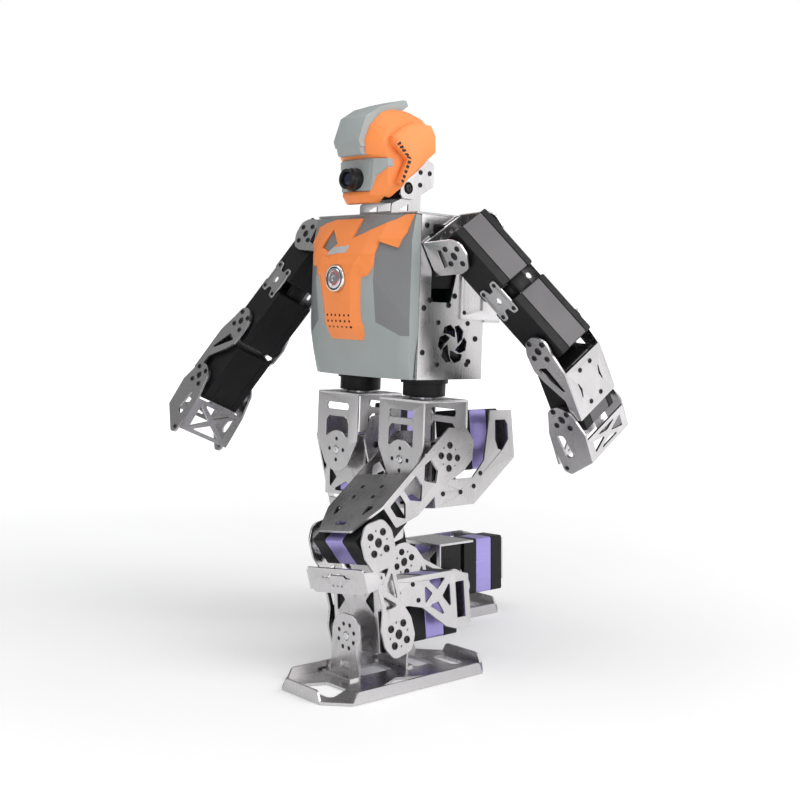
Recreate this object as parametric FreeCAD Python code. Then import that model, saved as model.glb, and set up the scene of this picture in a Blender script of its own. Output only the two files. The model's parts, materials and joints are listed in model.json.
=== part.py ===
import FreeCAD, Part
import os, math
from FreeCAD import Vector as V, Placement, Rotation, Matrix

os.makedirs("parts", exist_ok=True)

# Humanoid robot kit. Millimetres, +Z up, the robot faces -Y, its left is +X.
# The parts are laid out about a point on the floor midway between the two hip yaw axes,
# and the whole is then moved by org_x, org_y so the origin is under the middle of its box.

# ---- driving dimensions -------------------------------------------------
hip_x = 31.7            # hip yaw axis from the centre plane
hip_z = 126.4           # hip roll and pitch axes above the floor
thigh_len = 79.7        # hip pitch axis to knee axis
calf_len = 56.5         # knee axis to ankle pitch axis
sheet = 1.5             # bracket sheet thickness
leg_L, leg_W, leg_H = 40.0, 20.0, 40.5     # leg servo: length, width, depth along its axis
leg_e = 10.0            # leg servo: output axis from the end of the case
arm_L, arm_W, arm_H = 45.2, 24.7, 31.0     # arm servo
arm_e = 10.8
horn_r = 9.6            # output disc
link_x = 24.0           # inner face of the thigh plates and calf links
u_half = 20.0           # outer face of the U brackets' front and rear plates
u_top = 39.0            # top of the hip U bracket above the hip axis
back_y = 24.0           # front face of the roll servos behind the axis
body_w, body_y0, body_y1 = 98.8, -24.0, 35.0
body_z0, body_z1 = 178.4, 285.4
sho_x, sho_y, sho_z = 73.3, -2.1, 267.0    # shoulder: roll axis across, pitch axis height
upper_arm = 78.4        # shoulder roll axis to elbow axis
fore_arm = 49.7         # elbow axis to wrist axis
neck_y = -8.0
fan_y, fan_z, fan_d = 7.0, 201.5, 5.6     # cooling fan: centre on the left wall and depth
tilt_z = 303.0
cam_z = 306.3           # height of the camera's axis
badge_x = 1.0
foot_len, foot_w = 131.8, 60.8
foot_cx, foot_cy = 13.8, 1.4     # foot centre from the ankle axis, outwards and back

org_x, org_y = -15.441, 11.192   # middle of the whole part's box in the layout

# ---- rest pose (degrees) ------------------------------------------------
pose = {
    "l": dict(splay=7.49, thigh=53.4, calf=-12.87),
    "r": dict(splay=-2.57, thigh=-14.65, calf=-64.1),
}
arms = {
    "l": dict(pitch=32.5, roll=30.3, fore=-0.4, hand=-6.0),
    "r": dict(pitch=-22.0, roll=29.3, fore=28.2, hand=18.0),
}

X, Y, Z = V(1, 0, 0), V(0, 1, 0), V(0, 0, 1)


# ---- helpers ------------------------------------------------------------
def box(x0, x1, y0, y1, z0, z1):
    return Part.makeBox(x1 - x0, y1 - y0, z1 - z0, V(x0, y0, z0))


def cyl(p, d, r, h):
    return Part.makeCylinder(r, h, V(*p), V(*d))


def ring(p, d, r0, r1, h):
    return cyl(p, d, r1, h).cut(cyl(p, d, r0, h))


def to3(plane, u, v, w):
    return {"x": V(w, u, v), "y": V(u, w, v), "z": V(u, v, w)}[plane]


def outline(plane, pts, w):
    """Closed wire through pts in the plane; a point (u, v, r) gets a rounded corner."""
    n = len(pts)
    segs = []
    ends = []
    for i in range(n):
        p = pts[i]
        a, b = pts[i - 1], pts[(i + 1) % n]
        c = V(p[0], p[1], 0)
        r = p[2] if len(p) > 2 else 0
        if r <= 0:
            ends.append((c, None, c))
            continue
        da = (V(a[0], a[1], 0) - c)
        db = (V(b[0], b[1], 0) - c)
        la, lb = da.Length, db.Length
        da.normalize()
        db.normalize()
        ang = math.acos(max(-1, min(1, da.dot(db))))
        if ang > 3.10:
            ends.append((c, None, c))
            continue
        t = min(r / math.tan(ang / 2), 0.49 * la, 0.49 * lb)
        rr = t * math.tan(ang / 2)
        bis = (da + db)
        bis.normalize()
        cen = c + bis * (rr / math.sin(ang / 2))
        mid = cen - bis * rr
        ends.append((c + da * t, mid, c + db * t))
    f = lambda q: to3(plane, q.x, q.y, w)
    for i in range(n):
        s, m, e = ends[i]
        if m is not None:
            segs.append(Part.Arc(f(s), f(m), f(e)).toShape())
        nx = ends[(i + 1) % n][0]
        if (nx - e).Length > 1e-6:
            segs.append(Part.LineSegment(f(e), f(nx)).toShape())
    return Part.Wire(segs)


def plate(plane, w0, w1, pts, cuts=()):
    """Flat plate between w0 and w1 across the plane's normal, with cut-outs.
    A cut is a list of points or (u, v, r) with the word hole first."""
    d = to3(plane, 0, 0, w1 - w0)
    s = Part.Face(outline(plane, pts, w0)).extrude(d)
    tools = []
    for c in cuts:
        if c[0] == "hole":
            tools.append(Part.makeCylinder(c[3], w1 - w0 + 2, to3(plane, c[1], c[2], w0 - 1), to3(plane, 0, 0, 1)))
        else:
            tools.append(Part.Face(outline(plane, c, w0 - 1)).extrude(to3(plane, 0, 0, w1 - w0 + 2)))
    return s.cut(tools) if tools else s


def bolt_ring(u, v, r, n, hr, a0=0.0):
    return [("hole", u + r * math.cos(math.radians(a0 + 360.0 * i / n)),
             v + r * math.sin(math.radians(a0 + 360.0 * i / n)), hr) for i in range(n)]


def disc_holes(u, v, big=True):
    """Hole pattern over an output disc: four screws, a centre screw and small pilot holes."""
    c = [("hole", u, v, 2.7)] + bolt_ring(u, v, 7.3, 4, 1.25, 45)
    if big:
        c += bolt_ring(u, v, 7.3, 4, 0.6, 0)
    return c


def fuse(parts):
    s = parts[0]
    if len(parts) > 1:
        s = s.fuse(list(parts[1:]))
    try:
        s = s.removeSplitter()
    except Exception:
        pass
    return s


def legs(parts):
    """Flat legs of a bent sheet, cut so that they meet face to face."""
    out = []
    for p in parts:
        for q in out:
            if q.BoundBox.intersect(p.BoundBox):
                p = p.cut(q)
        out += [t for t in p.Solids if t.Volume > 0.5]
    return out


def slices(levels):
    """Faceted closed solid through horizontal outlines with equal point counts."""
    pts = [[V(x, y, z) for x, y in ring_] for z, ring_ in levels]
    n = len(pts[0])
    faces = []

    def tri(a, b, c):
        if (b - a).cross(c - a).Length > 1e-7:
            faces.append(Part.Face(Part.makePolygon([a, b, c, a])))

    for k in range(len(pts) - 1):
        lo, hi = pts[k], pts[k + 1]
        for i in range(n):
            j = (i + 1) % n
            # the split runs the mirror way on the mirrored half
            if i < n // 2:
                tri(lo[i], lo[j], hi[i])
                tri(lo[j], hi[j], hi[i])
            else:
                tri(lo[i], lo[j], hi[j])
                tri(lo[i], hi[j], hi[i])
    faces.append(Part.Face(Part.makePolygon(pts[0] + [pts[0][0]])))
    faces.append(Part.Face(Part.makePolygon(pts[-1] + [pts[-1][0]])))
    s = Part.Solid(Part.makeShell(faces))
    if s.Volume < 0:
        s.reverse()
    return s


def sym(half):
    """Mirror a half outline (x >= 0, first and last on x = 0) into a closed one."""
    return half + [(-x, y) for x, y in half[-2:0:-1]]


# ---- servos -------------------------------------------------------------
def servo(L, W, H, e, cap_front, cap_rear, ears=False):
    """Servo in its own frame: axis along Z, output at +Z, case towards -Y.
    Case of three stacked layers with shallow seams, a raised output boss and a rear idler boss."""
    h = H / 2
    prof = [(-W / 2, -(L - e), 1.6), (W / 2, -(L - e), 1.6), (W / 2, e, 1.6), (-W / 2, e, 1.6)]
    inner = [(-W / 2 + 0.35, -(L - e) + 0.35, 1.3), (W / 2 - 0.35, -(L - e) + 0.35, 1.3),
             (W / 2 - 0.35, e - 0.35, 1.3), (-W / 2 + 0.35, e - 0.35, 1.3)]
    s = plate("z", -h, h, prof)
    grooves = []
    for zc in (h - cap_front, -h + cap_rear):
        grooves.append(plate("z", zc - 0.25, zc + 0.25, prof).cut(plate("z", zc - 0.25, zc + 0.25, inner)))
    for sx in (-1, 1):
        for yy in (-(L - e) + 3.0, e - 3.0):
            grooves.append(cyl((sx * (W / 2 - 3.0), yy, h - 1.2), (0, 0, 1), 1.5, 3))
    s = s.cut(grooves)
    s = s.fuse([cyl((0, 0, h - 0.5), (0, 0, 1), 6.4, 1.3), cyl((0, 0, -h - 0.8), (0, 0, 1), 6.4, 1.3)])
    # cable socket on the far end of the case
    s = s.cut(box(-4.2, 4.2, -(L - e) - 1, -(L - e) + 1.6, -h + 3.2, -h + 7.2))
    return s


def disc(r, h, p, d):
    return ring(p, d, 1.6, r, h)


def leg_servo():
    return servo(leg_L, leg_W, leg_H, leg_e, 13.0, 11.5)


def arm_servo():
    return servo(arm_L, arm_W, arm_H, arm_e, 7.0, 5.0)


def put(s, origin, rot):
    t = s.copy()
    t.Placement = Placement(V(*origin), rot).multiply(t.Placement)
    return t


def axes_rot(xv, yv, zv):
    m = Matrix(xv[0], yv[0], zv[0], 0, xv[1], yv[1], zv[1], 0, xv[2], yv[2], zv[2], 0, 0, 0, 0, 1)
    return Placement(m).Rotation


# servo attitudes in a leg frame: (case x, case y, axis)
PITCH_DOWN = axes_rot((0, 1, 0), (0, 0, 1), (1, 0, 0))      # axis +X, case hangs down
PITCH_UP = axes_rot((0, -1, 0), (0, 0, -1), (1, 0, 0))      # axis +X, case stands up
ROLL_UP = axes_rot((-1, 0, 0), (0, 0, -1), (0, -1, 0))      # axis -Y, case stands up
ROLL_DOWN = axes_rot((1, 0, 0), (0, 0, 1), (0, -1, 0))      # axis -Y, case hangs down

gap = link_x - leg_H / 2     # from servo case to the inner face of a link: 3.75


def pitch_discs(r=horn_r):
    """Output and idler discs on a leg servo whose axis is X at the local origin."""
    a = leg_H / 2 + 1.0
    return [disc(r, link_x - a, (a, 0, 0), (1, 0, 0)), disc(r, link_x - a, (-link_x, 0, 0), (1, 0, 0))]


# ---- hip U bracket, hangs from the yaw servo ------------------------------
def u_face(y0):
    top, w = u_top, 21.0
    pts = [(-w, top), (w, top), (w, 7.5), (11.5, -10.5, 9), (4.5, -14.2, 6), (-4.5, -14.2, 6), (-11.5, -10.5, 9), (-w, 7.5)]
    slot = [(-11.3, 27, 2), (11.3, 27, 2), (11.3, 31.8, 2), (-11.3, 31.8, 2)]
    cut = Part.Face(outline("y", [(-11.5, 9.0), (11.5, 9.0), (11.5, 19.5), (8.5, 22.5), (-8.5, 22.5), (-11.5, 19.5)], y0 - 1)).extrude(V(0, sheet + 2, 0))
    cut = cut.cut(cyl((0, y0 - 2, 0), (0, 1, 0), 12.8, sheet + 4))
    p = plate("y", y0, y0 + sheet, pts, [slot, ("hole", 0, 0, 2.9)] + bolt_ring(0, 0, 7.1, 4, 1.2, 0))
    return p.cut(cut)


def hip_bracket():
    front = u_face(-u_half)
    rear = u_face(u_half - sheet)
    cuts = [("hole", 0, 0, 4.0), [(-17, -13, 1), (-11, -13, 1), (-11, 13, 1), (-17, 13, 1)],
            [(11, -13, 1), (17, -13, 1), (17, 13, 1), (11, 13, 1)]] + bolt_ring(0, 0, 7.3, 4, 1.25, 45)
    top = plate("z", u_top - sheet, u_top, [(-21, -u_half), (21, -u_half), (21, u_half), (-21, u_half)], cuts)
    return Part.makeCompound(legs([top, front, rear]) + [disc(horn_r, 1.0, (0, 0, u_top), (0, 0, 1)),
                              ring((0, u_half, 0), (0, 1, 0), 1.6, horn_r, back_y - 1.0 - u_half),
                              ring((0, -u_half + sheet, 0), (0, 1, 0), 1.6, 4.2, 4.2)])


# ---- hip and ankle servo frames --------------------------------------------
def block_frame(up):
    """Bent sheet that joins the pitch servo to the roll servo behind it.
    up = -1: pitch servo hangs (hip); up = 1: it stands (ankle)."""
    k = up
    h = leg_H / 2
    zf = lambda z: z * k
    lo, hi = -10.0, 31.5
    # front plate on the pitch servo's narrow side, with an X of struts below the idler boss
    def Tri(a, b, c):
        return [(a[0], zf(a[1]), 0.8), (b[0], zf(b[1]), 0.8), (c[0], zf(c[1]), 0.8)]
    front = plate("y", -leg_W / 2 - sheet, -leg_W / 2, [(-h, zf(lo)), (h, zf(lo)), (h, zf(hi)), (-h, zf(hi))],
                  [Tri((-17, 12.5), (-17, 27.5), (-9.5, 20)), Tri((17, 12.5), (17, 27.5), (9.5, 20)),
                   Tri((-14, 29), (14, 29), (0, 22.5)), ("hole", 0, 0, 2.0)])
    end = box(-h, h + sheet, -leg_W / 2 - sheet, back_y - 1, min(zf(30.0), zf(hi)), max(zf(30.0), zf(hi)))
    if up > 0:
        side_pts = [(-11.5, 31.5), (-11.5, 14.5), (13, 14.5), (24, 12), (44, -2), (52, -4.5), (66, -4.5), (66, 28), (52, 31.5)]
        cuts = [[(27, 25, 0.8), (27, 14, 0.8), (33.5, 19.5, 0.8)], [(49, 25, 0.8), (49, 9, 0.8), (42, 17, 0.8)],
                [(30, 28, 0.8), (46, 28, 0.8), (38, 21.5, 0.8)], [(30.5, 12.5, 0.8), (44, 4.5, 0.8), (38, 14.0, 0.8)],
                [(54, 24, 0.8), (62, 24, 0.8), (62, 2, 0.8), (54, 2, 0.8)],
                ("hole", -5, 23, 1.2), ("hole", 5, 23, 1.2), ("hole", 17, 27, 1.2), ("hole", 21, 17, 1.2)]
        cuts = [c if c[0] == "hole" else c for c in cuts]
    else:
        side_pts = [(-11.5, -31.5), (24, -31.5), (66, -3.5), (66, 28.5), (45, 28.5), (36, -4), (24, -14.5), (-11.5, -14.5)]
        cuts = [[(49, 22, 1), (59, 22, 1), (61, 19, 1), (61, 9, 1), (54, 1.5, 1), (50, 3, 1), (48, 9, 1)],
                ("hole", 31.5, -12.2, 1.3), ("hole", 24.5, -20.1, 1.3), ("hole", 12, -23, 1.2), ("hole", -4, -23, 1.2)]
    side = plate("x", h, h + sheet, side_pts, cuts)
    flange = plate("y", back_y + leg_H, back_y + leg_H + sheet, [(-10, -2.5), (h + sheet, -2.5), (h + sheet, 28), (-10, 28)],
                   [[(-6, 9, 2), (6, 9, 2), (6, 24, 2), (-6, 24, 2)], ("hole", 0, 0, 6.8)])
    side = side.fuse(box(h, h + sheet, back_y + leg_H - 3, back_y + leg_H + sheet, -2.5, 28))
    boss = ring((0, -leg_W / 2 - sheet - 2.4, 0), (0, 1, 0), 1.6, 4.2, 2.4)
    return Part.makeCompound(legs([side, front.fuse(boss).removeSplitter(), flange, end]))


def block_servos(up):
    p = put(leg_servo(), (0, 0, 0), PITCH_UP if up > 0 else PITCH_DOWN)
    r = put(leg_servo(), (0, back_y + leg_H / 2, 0), ROLL_UP)
    return Part.makeCompound([p, r])


# ---- thigh ------------------------------------------------------------------
def thigh_bracket():
    """Local frame: hip axis X at the origin, knee at (0, 0, -thigh_len), front is -Y."""
    x0, x1 = link_x, link_x + sheet
    n0, n1 = 12.5, 14.0
    side_pts = [(-n1, 12, 2), (-4, 24.5, 2), (7, 24.0, 4), (14.5, 15, 3), (15, 4, 4), (10.5, -16, 3), (9.5, -45, 3), (3.0, -63.5, 2), (-n1, -63.5, 2)]
    cuts = disc_holes(0, 0) + [
        [(-9, -13.5, 1), (0, -13.5, 1), (5, -20, 1), (-3, -27, 1), (-10, -20, 1)],
        [(-10, -30, 1), (-2, -30, 1), (5, -37, 1), (-2, -44, 1), (-10, -44, 1)],
        [(-10, -48, 1), (-3, -48, 1), (4, -54, 1), (-2, -59, 1), (-10, -59, 1)]]
    right = plate("x", x0, x1, side_pts, cuts)
    left = plate("x", -x1, -x0, side_pts, cuts)
    front_pts = [(-x1, -33), (x1, -33), (x1, -64), (15, -85.5, 2), (-15, -85.5, 2), (-x1, -64)]
    fc = [("hole", -9, -45, 1.3), ("hole", 9, -45, 1.3), ("hole", -9, -54.5, 1.3), ("hole", 9, -54.5, 1.3),
          [(-18, -63, 1), (-11, -63, 1), (-13, -73, 1)], [(18, -63, 1), (11, -63, 1), (13, -73, 1)],
          [(-5, -80, 2), (5, -80, 2), (5, -77, 2), (-5, -77, 2)]]
    front = plate("y", -n1, -n0, front_pts, fc)
    lips = [box(x0 if s > 0 else -x1, x1 if s > 0 else -x0, -n1, -n0, -33, -20) for s in (1, -1)]
    spacers = [cyl((sx, -n0, z), (0, 1, 0), 2.6, n0 - leg_W / 2) for sx in (-9, 9) for z in (-54.5,)]
    right = right.fuse(lips[0]).removeSplitter()
    left = left.fuse(lips[1]).removeSplitter()
    return Part.makeCompound(legs([front, right, left] + spacers) + pitch_discs())


def knee_servo():
    return put(leg_servo(), (0, 0, -thigh_len), PITCH_UP)


# ---- calf: two dog-bone links and a cross plate ------------------------------
def link_pts():
    r0, w, L = 12.6, 8.2, calf_len
    return [(-r0, 4.5, 7), (-7.5, r0 + 0.4, 7), (7.5, r0 + 0.4, 7), (r0, 4.5, 7), (r0, -6.5, 7), (w, -17, 8), (w, -L + 17, 8),
            (r0, -L + 6.5, 7), (r0, -L - 4.5, 7), (7.5, -L - r0 - 0.4, 7), (-7.5, -L - r0 - 0.4, 7), (-r0, -L - 4.5, 7), (-r0, -L + 6.5, 7),
            (-w, -L + 17, 8), (-w, -17, 8), (-r0, -6.5, 7)]


def calf_links():
    out = []
    L = calf_len
    cuts = disc_holes(0, 0) + disc_holes(0, -L) + [
        [(-5.0, -16.5, 0.7), (4.0, -16.5, 0.7), (-5.0, -25, 0.7)], [(5.2, -19.5, 0.7), (5.2, -36.5, 0.7), (-2.6, -28, 0.7)],
        [(-5.2, -31, 0.7), (-5.2, -40, 0.7), (4.0, -40, 0.7)]]
    for x0 in (link_x, -link_x - sheet):
        out.append(plate("x", x0, x0 + sheet, link_pts(), cuts))
    out += pitch_discs()
    for d in pitch_discs():
        out.append(put(d, (0, 0, -L), Rotation()))
    return Part.makeCompound(out)


def calf_plate():
    """Front cross plate bridging the two links, with a thin slot and three dots."""
    n0, n1, x = 16.0, 17.5, link_x + sheet
    pts = [(-x, -11), (x, -11), (x, -20, 2), (x - 2, -26.5, 2), (-x + 2, -26.5, 2), (-x, -20, 2)]
    slot = [(-13, -17.2), (-7, -17.2), (-5, -15.4), (7, -15.4), (9, -17.2), (13, -17.2), (13, -16), (10, -16), (8, -14.2), (-6, -14.2), (-8, -16), (-13, -16)]
    front = plate("y", -n1, -n0, pts, [slot, ("hole", -4, -21.8, 0.7), ("hole", 0, -21.8, 0.7), ("hole", 4, -21.8, 0.7)])
    ears = []
    for s in (1, -1):
        a, b = (link_x + sheet, link_x + 2 * sheet) if s > 0 else (-link_x - 2 * sheet, -link_x - sheet)
        ears.append(plate("x", a, b, [(-n1, -12.5), (-n1, -25), (-8, -25, 1), (-2, -21, 2), (-2, -18, 2), (-8, -15, 1)], [("hole", -5, -19.5, 1.0)]))
        ears.append(box(min(a, b, s * (link_x)), max(a, b, s * link_x), -n1, -n0, -25, -12.5))
    return Part.makeCompound(legs([front] + ears))


# ---- foot -------------------------------------------------------------------
def foot_plate(ankle_h):
    """Tray with upturned lips; local frame is the ankle roll frame, outwards is +X."""
    z0 = -ankle_h
    x0, x1 = foot_cx - foot_w / 2, foot_cx + foot_w / 2
    y0, y1 = foot_cy - foot_len / 2, foot_cy + foot_len / 2
    c = 13.0
    pts = [(x0 + c, y0), (x1 - c, y0), (x1, y0 + c), (x1, y1 - c), (x1 - c, y1), (x0 + c, y1), (x0, y1 - c), (x0, y0 + c)]
    cuts = [[(x0 + 14, y0 + 9, 3), (x1 - 14, y0 + 9, 3), (x1 - 22, y0 + 27, 3), (x0 + 22, y0 + 27, 3)],
            [(x0 + 20, y1 - 18, 4), (x1 - 20, y1 - 18, 4), (x1 - 20, y1 - 9, 4), (x0 + 20, y1 - 9, 4)],
            [(x1 - 9, y0 + 36, 3), (x1 - 9, y1 - 36, 3), (x1 - 22, foot_cy, 3)],
            [(-8, -13, 3), (8, -13, 3), (8, 12, 3), (-8, 12, 3)],
            [(-9, 27, 3), (13, 27, 3), (13, 42, 3), (-9, 42, 3)]]
    base = plate("z", z0, z0 + sheet, pts, cuts)
    lip, r = 7.0, 5.0
    def wall(plane, a, b, lo, hi, along):
        return plate(plane, a, b, [(along[0], z0), (along[1], z0), (along[1] - r * 0.7, z0 + lip, 3), (along[0] + r * 0.7, z0 + lip, 3)])
    walls = [wall("y", y0, y0 + sheet, 0, 0, (x0 + c, x1 - c)), wall("y", y1 - sheet, y1, 0, 0, (x0 + c, x1 - c)),
             wall("x", x0, x0 + sheet, 0, 0, (y0 + c, y1 - c)), wall("x", x1 - sheet, x1, 0, 0, (y0 + c, y1 - c))]
    return fuse([base] + walls)


def foot_bracket(ankle_h):
    z0 = -ankle_h + sheet
    def face(y0, r):
        return plate("y", y0, y0 + sheet, [(-13, z0), (13, z0), (13, 3, 4), (11, 10, 8), (4, 13.2, 6), (-4, 13.2, 6), (-11, 10, 8), (-13, 3, 4)],
                     [("hole", 0, 0, 2.7)] + bolt_ring(0, 0, 7.3, 8, 1.15, 22.5) + [[(-4, -19, 1.5), (4, -19, 1.5), (4, -14.5, 1.5), (-4, -14.5, 1.5)]])
    front = face(-u_half, 0)
    rear = face(u_half - sheet, 0)
    tab1 = box(-13, 13, -u_half - 7, -u_half + sheet, z0, z0 + sheet)
    tab2 = box(-13, 13, u_half - sheet, u_half + 4.5, z0, z0 + sheet)
    return Part.makeCompound(legs([front, rear, tab1, tab2]) + [ring((0, u_half, 0), (0, 1, 0), 1.6, horn_r, back_y - 1.0 - u_half),
                              ring((0, -u_half + sheet, 0), (0, 1, 0), 1.6, 4.2, 4.2)])


# ---- arm ------------------------------------------------------------------------
ah = arm_H / 2
a_out = 19.6                 # outer face of the arm brackets' front plates from the arm's middle plane


def arm_discs(p=(0, 0, 0)):
    a = ah + 1.0
    return [disc(8.6, a_out - sheet - a, (p[0], -a_out + sheet, p[2]), (0, 1, 0)),
            disc(8.6, a_out - sheet - a, (p[0], a, p[2]), (0, 1, 0))]


def shoulder_bracket():
    """U that turns with the shoulder pitch servo; local origin on the shoulder roll axis,
    +X outwards, the torso wall lies at x = body_w/2 - sho_x."""
    xb = body_w / 2 + 1.1 - sho_x
    def face(y0):
        return plate("y", y0, y0 + sheet, [(xb, 9.8), (2, 11.5, 6), (9, 9, 6), (11.3, 0, 8), (8, -9.5, 6), (1, -12.5, 5), (xb, -14.3)],
                     disc_holes(0, 0, False) + [[(-12.5, 4.5, 0.5), (-9.5, 4.5, 0.5), (-8.0, -6.5, 0.5), (-12.5, -8.5, 0.5)]])
    base = plate("x", xb, xb + sheet, [(-a_out, 9.8), (a_out, 9.8), (a_out, -14.3), (-a_out, -14.3)],
                 disc_holes(0, 0) + [("hole", -14, 5, 1.2), ("hole", 14, 5, 1.2)])
    hub = disc(8.6, 0.8, (xb - 0.8, 0, 0), (1, 0, 0))
    return Part.makeCompound(legs([base, face(-a_out), face(a_out - sheet)]) + [hub] + arm_discs())


ARM_A = axes_rot((1, 0, 0), (0, 0, 1), (0, -1, 0))     # axis -Y, case hangs down
ARM_B = axes_rot((-1, 0, 0), (0, 0, -1), (0, -1, 0))   # axis -Y, case stands up


def upper_servos():
    return Part.makeCompound([put(arm_servo(), (0, 0, 0), ARM_A), put(arm_servo(), (0, 0, -upper_arm), ARM_B)])


def join_plates():
    """Four small plates that join the two upper-arm servos end to end."""
    m = -upper_arm / 2
    out = []
    for y0, y1 in ((-ah - 1.2, -ah), (ah, ah + 1.2)):
        pts = [(-9.5, m + 12, 2), (-4, m + 12, 2), (-2, m + 7), (2, m + 7), (4, m + 12, 2), (9.5, m + 12, 2), (9.5, m - 12, 2), (4, m - 12, 2), (2, m - 7), (-2, m - 7), (-4, m - 12, 2), (-9.5, m - 12, 2)]
        out.append(plate("y", y0, y1, pts, [("hole", sx, m + sz, 1.1) for sx in (-6.8, 6.8) for sz in (-9.2, 9.2)] + [("hole", 0, m, 2.2)]))
    g = upper_arm - 2 * (arm_L - arm_e)
    for sx in (-7.0, 7.0):
        out.append(box(sx - 2.2, sx + 2.2, -6, 6, m - g / 2, m + g / 2))
    return Part.makeCompound(out)


def forearm_bracket():
    """Local frame: elbow axis Y at the origin, wrist axis at (0, 0, -fore_arm), outwards is +X."""
    x1 = 14.6
    pts = [(-8, 5.5, 6), (0, 11.2, 8), (8, 7.5, 6), (10, -2, 4), (x1, -16), (x1, -50), (8, -50, 3), (7.5, -36, 3), (-5, -22, 2), (-9.5, -15, 2), (-10.5, -3, 6)]
    def face(y0):
        return plate("y", y0, y0 + sheet, pts, disc_holes(0, 0, False) + [[(-6.5, -13, 0.8), (1.5, -12, 0.8), (10.2, -28.5, 0.8), (8.5, -29, 0.8)]])
    side = plate("x", x1 - sheet, x1, [(-a_out, -16), (a_out, -16), (a_out, -50), (-a_out, -50)],
                 [("hole", -5.5, -21.5, 1.3), ("hole", 5.5, -21.5, 1.3), ("hole", -5.5, -44.5, 1.3), ("hole", 5.5, -44.5, 1.3),
                  [(-12, -24, 0.7), (-9.2, -33, 2), (-12, -42, 0.7), (-11, -33, 1)], [(12, -24, 0.7), (9.2, -33, 2), (12, -42, 0.7), (11, -33, 1)]])
    return Part.makeCompound(legs([face(-a_out), face(a_out - sheet), side]) + arm_discs())


def wrist_servo():
    """Held by the forearm's side plate, its axis nearer the inner side."""
    return put(arm_servo(), (wrist_dx, 0, -fore_arm), axes_rot((-1, 0, 0), (0, 0, -1), (0, -1, 0)))


wrist_dx = 0.0
hand_disc_r = 7.0       # the wrist's smaller discs pass inside the forearm plates


def hand_bracket():
    """Local frame: wrist axis Y at the origin, fingertips towards -Z, outwards is +X."""
    xi, xo, zt, zb = -13.8, 15.6, -13.4, -44.0
    y = a_out + 1.9
    pts = [(-9.5, 5, 6), (0, 10.5, 8), (9.0, 5, 6), (xo, -9), (xo, -30), (-4.5, zb, 3), (-10.0, zb + 1.5, 3), (xi, -13)]
    def face(y0):
        return plate("y", y0, y0 + sheet, pts, disc_holes(0, 0, False) + [[(-8.0, -14, 1), (-2.5, -13, 2), (1.5, -27, 2), (-2, -31, 2), (-5, -29, 1)], ("hole", -7, -39.5, 1.4)])
    def xplate(x0, zlo):
        h = (zt - zlo)
        return plate("x", x0, x0 + sheet, [(-y, zt), (y, zt), (y, zlo), (-y, zlo)],
                     [[(-y + 6, zt - 4, 0.6), (-y + 6, zlo + 4, 0.6), (-3.0, (zt + zlo) / 2, 0.6)], [(y - 6, zt - 4, 0.6), (y - 6, zlo + 4, 0.6), (3.0, (zt + zlo) / 2, 0.6)],
                      [(-y + 9, zt - 2.6, 0.6), (y - 9, zt - 2.6, 0.6), (0, (zt + zlo) / 2 + 2.6, 0.6)], [(-y + 9, zlo + 2.6, 0.6), (y - 9, zlo + 2.6, 0.6), (0, (zt + zlo) / 2 - 2.6, 0.6)]])
    return xi, xo, zt, zb, y, face, xplate


def hand():
    xi, xo, zt, zb, y, face, xplate = hand_bracket()
    outer = xplate(xo - sheet, -30.0)
    inner = xplate(xi, -38.0)
    f0 = face(-y)
    f1 = face(y - sheet)
    a = ah + 1.0
    return Part.makeCompound(legs([f0, f1, outer, inner]) + [disc(hand_disc_r, y - sheet - a, (0, -y + sheet, 0), (0, 1, 0)), disc(hand_disc_r, y - sheet - a, (0, a, 0), (0, 1, 0))])


# ---- torso -----------------------------------------------------------------
hw = body_w / 2


def chassis():
    """Bent sheet box: two side walls, a back wall and a top plate."""
    sy, sz = sho_y, sho_z
    pts = [(body_y0, body_z0), (body_y1, body_z0), (body_y1, body_z1 - 2), (body_y0, body_z1 - 2)]
    fan = []
    fy, fz = 7.0, 201.5
    for i in range(6):
        a = math.radians(60 * i)
        def P(r, d):
            return (fy + r * math.cos(a + math.radians(d)), fz + r * math.sin(a + math.radians(d)), 0.5)
        fan.append([P(4.6, 0), P(4.8, 34), P(7.4, 62), P(11.4, 84), P(13.4, 66), P(12.8, 40), P(9.2, 18)])
    hole = [(sy - 12, 228, 2), (sy + 6, 228, 2), (sy + 9, 240, 3), (sy + 12, 252, 3), (sy + 12, sz + 11, 2), (sy - 12, sz + 11, 2)]
    cuts = fan + [hole, ("hole", fy - 13.5, fz + 13.5, 1.2), ("hole", fy + 13.5, fz + 13.5, 1.2), ("hole", fy - 13.5, fz - 13.5, 1.2), ("hole", fy + 13.5, fz - 13.5, 1.2)]
    right = plate("x", hw - sheet, hw, pts, cuts)
    left = plate("x", -hw, -hw + sheet, pts, [("hole" if c[0] == "hole" else c[0],) + tuple(c[1:]) if c[0] == "hole" else c for c in cuts])
    back = plate("y", body_y1 - sheet, body_y1, [(-hw, body_z0), (hw, body_z0), (hw, body_z1 - 2), (-hw, body_z1 - 2)],
                 [[(-30, 192, 3), (30, 192, 3), (30, 206, 3), (-30, 206, 3)], [(-30, 262, 3), (30, 262, 3), (30, 272, 3), (-30, 272, 3)]])
    flanges = [box(-hw, -hw + 9, body_y0, body_y0 + sheet, body_z0 + 2, body_z1 - 8), box(hw - 9, hw, body_y0, body_y0 + sheet, body_z0 + 2, body_z1 - 8)]
    return fuse([right, left, back] + flanges)


def top_plate():
    pts = [(-hw, body_y0 - 4), (hw, body_y0 - 4), (hw, body_y1), (-hw, body_y1)]
    return plate("z", body_z1 - 2, body_z1 - 0.5, pts, [[(-13, neck_y - 10.5, 2), (13, neck_y - 10.5, 2), (13, neck_y + 33, 2), (-13, neck_y + 33, 2)]] + [("hole", sx * 40, yy, 1.3) for sx in (-1, 1) for yy in (-14, 26)])


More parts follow.
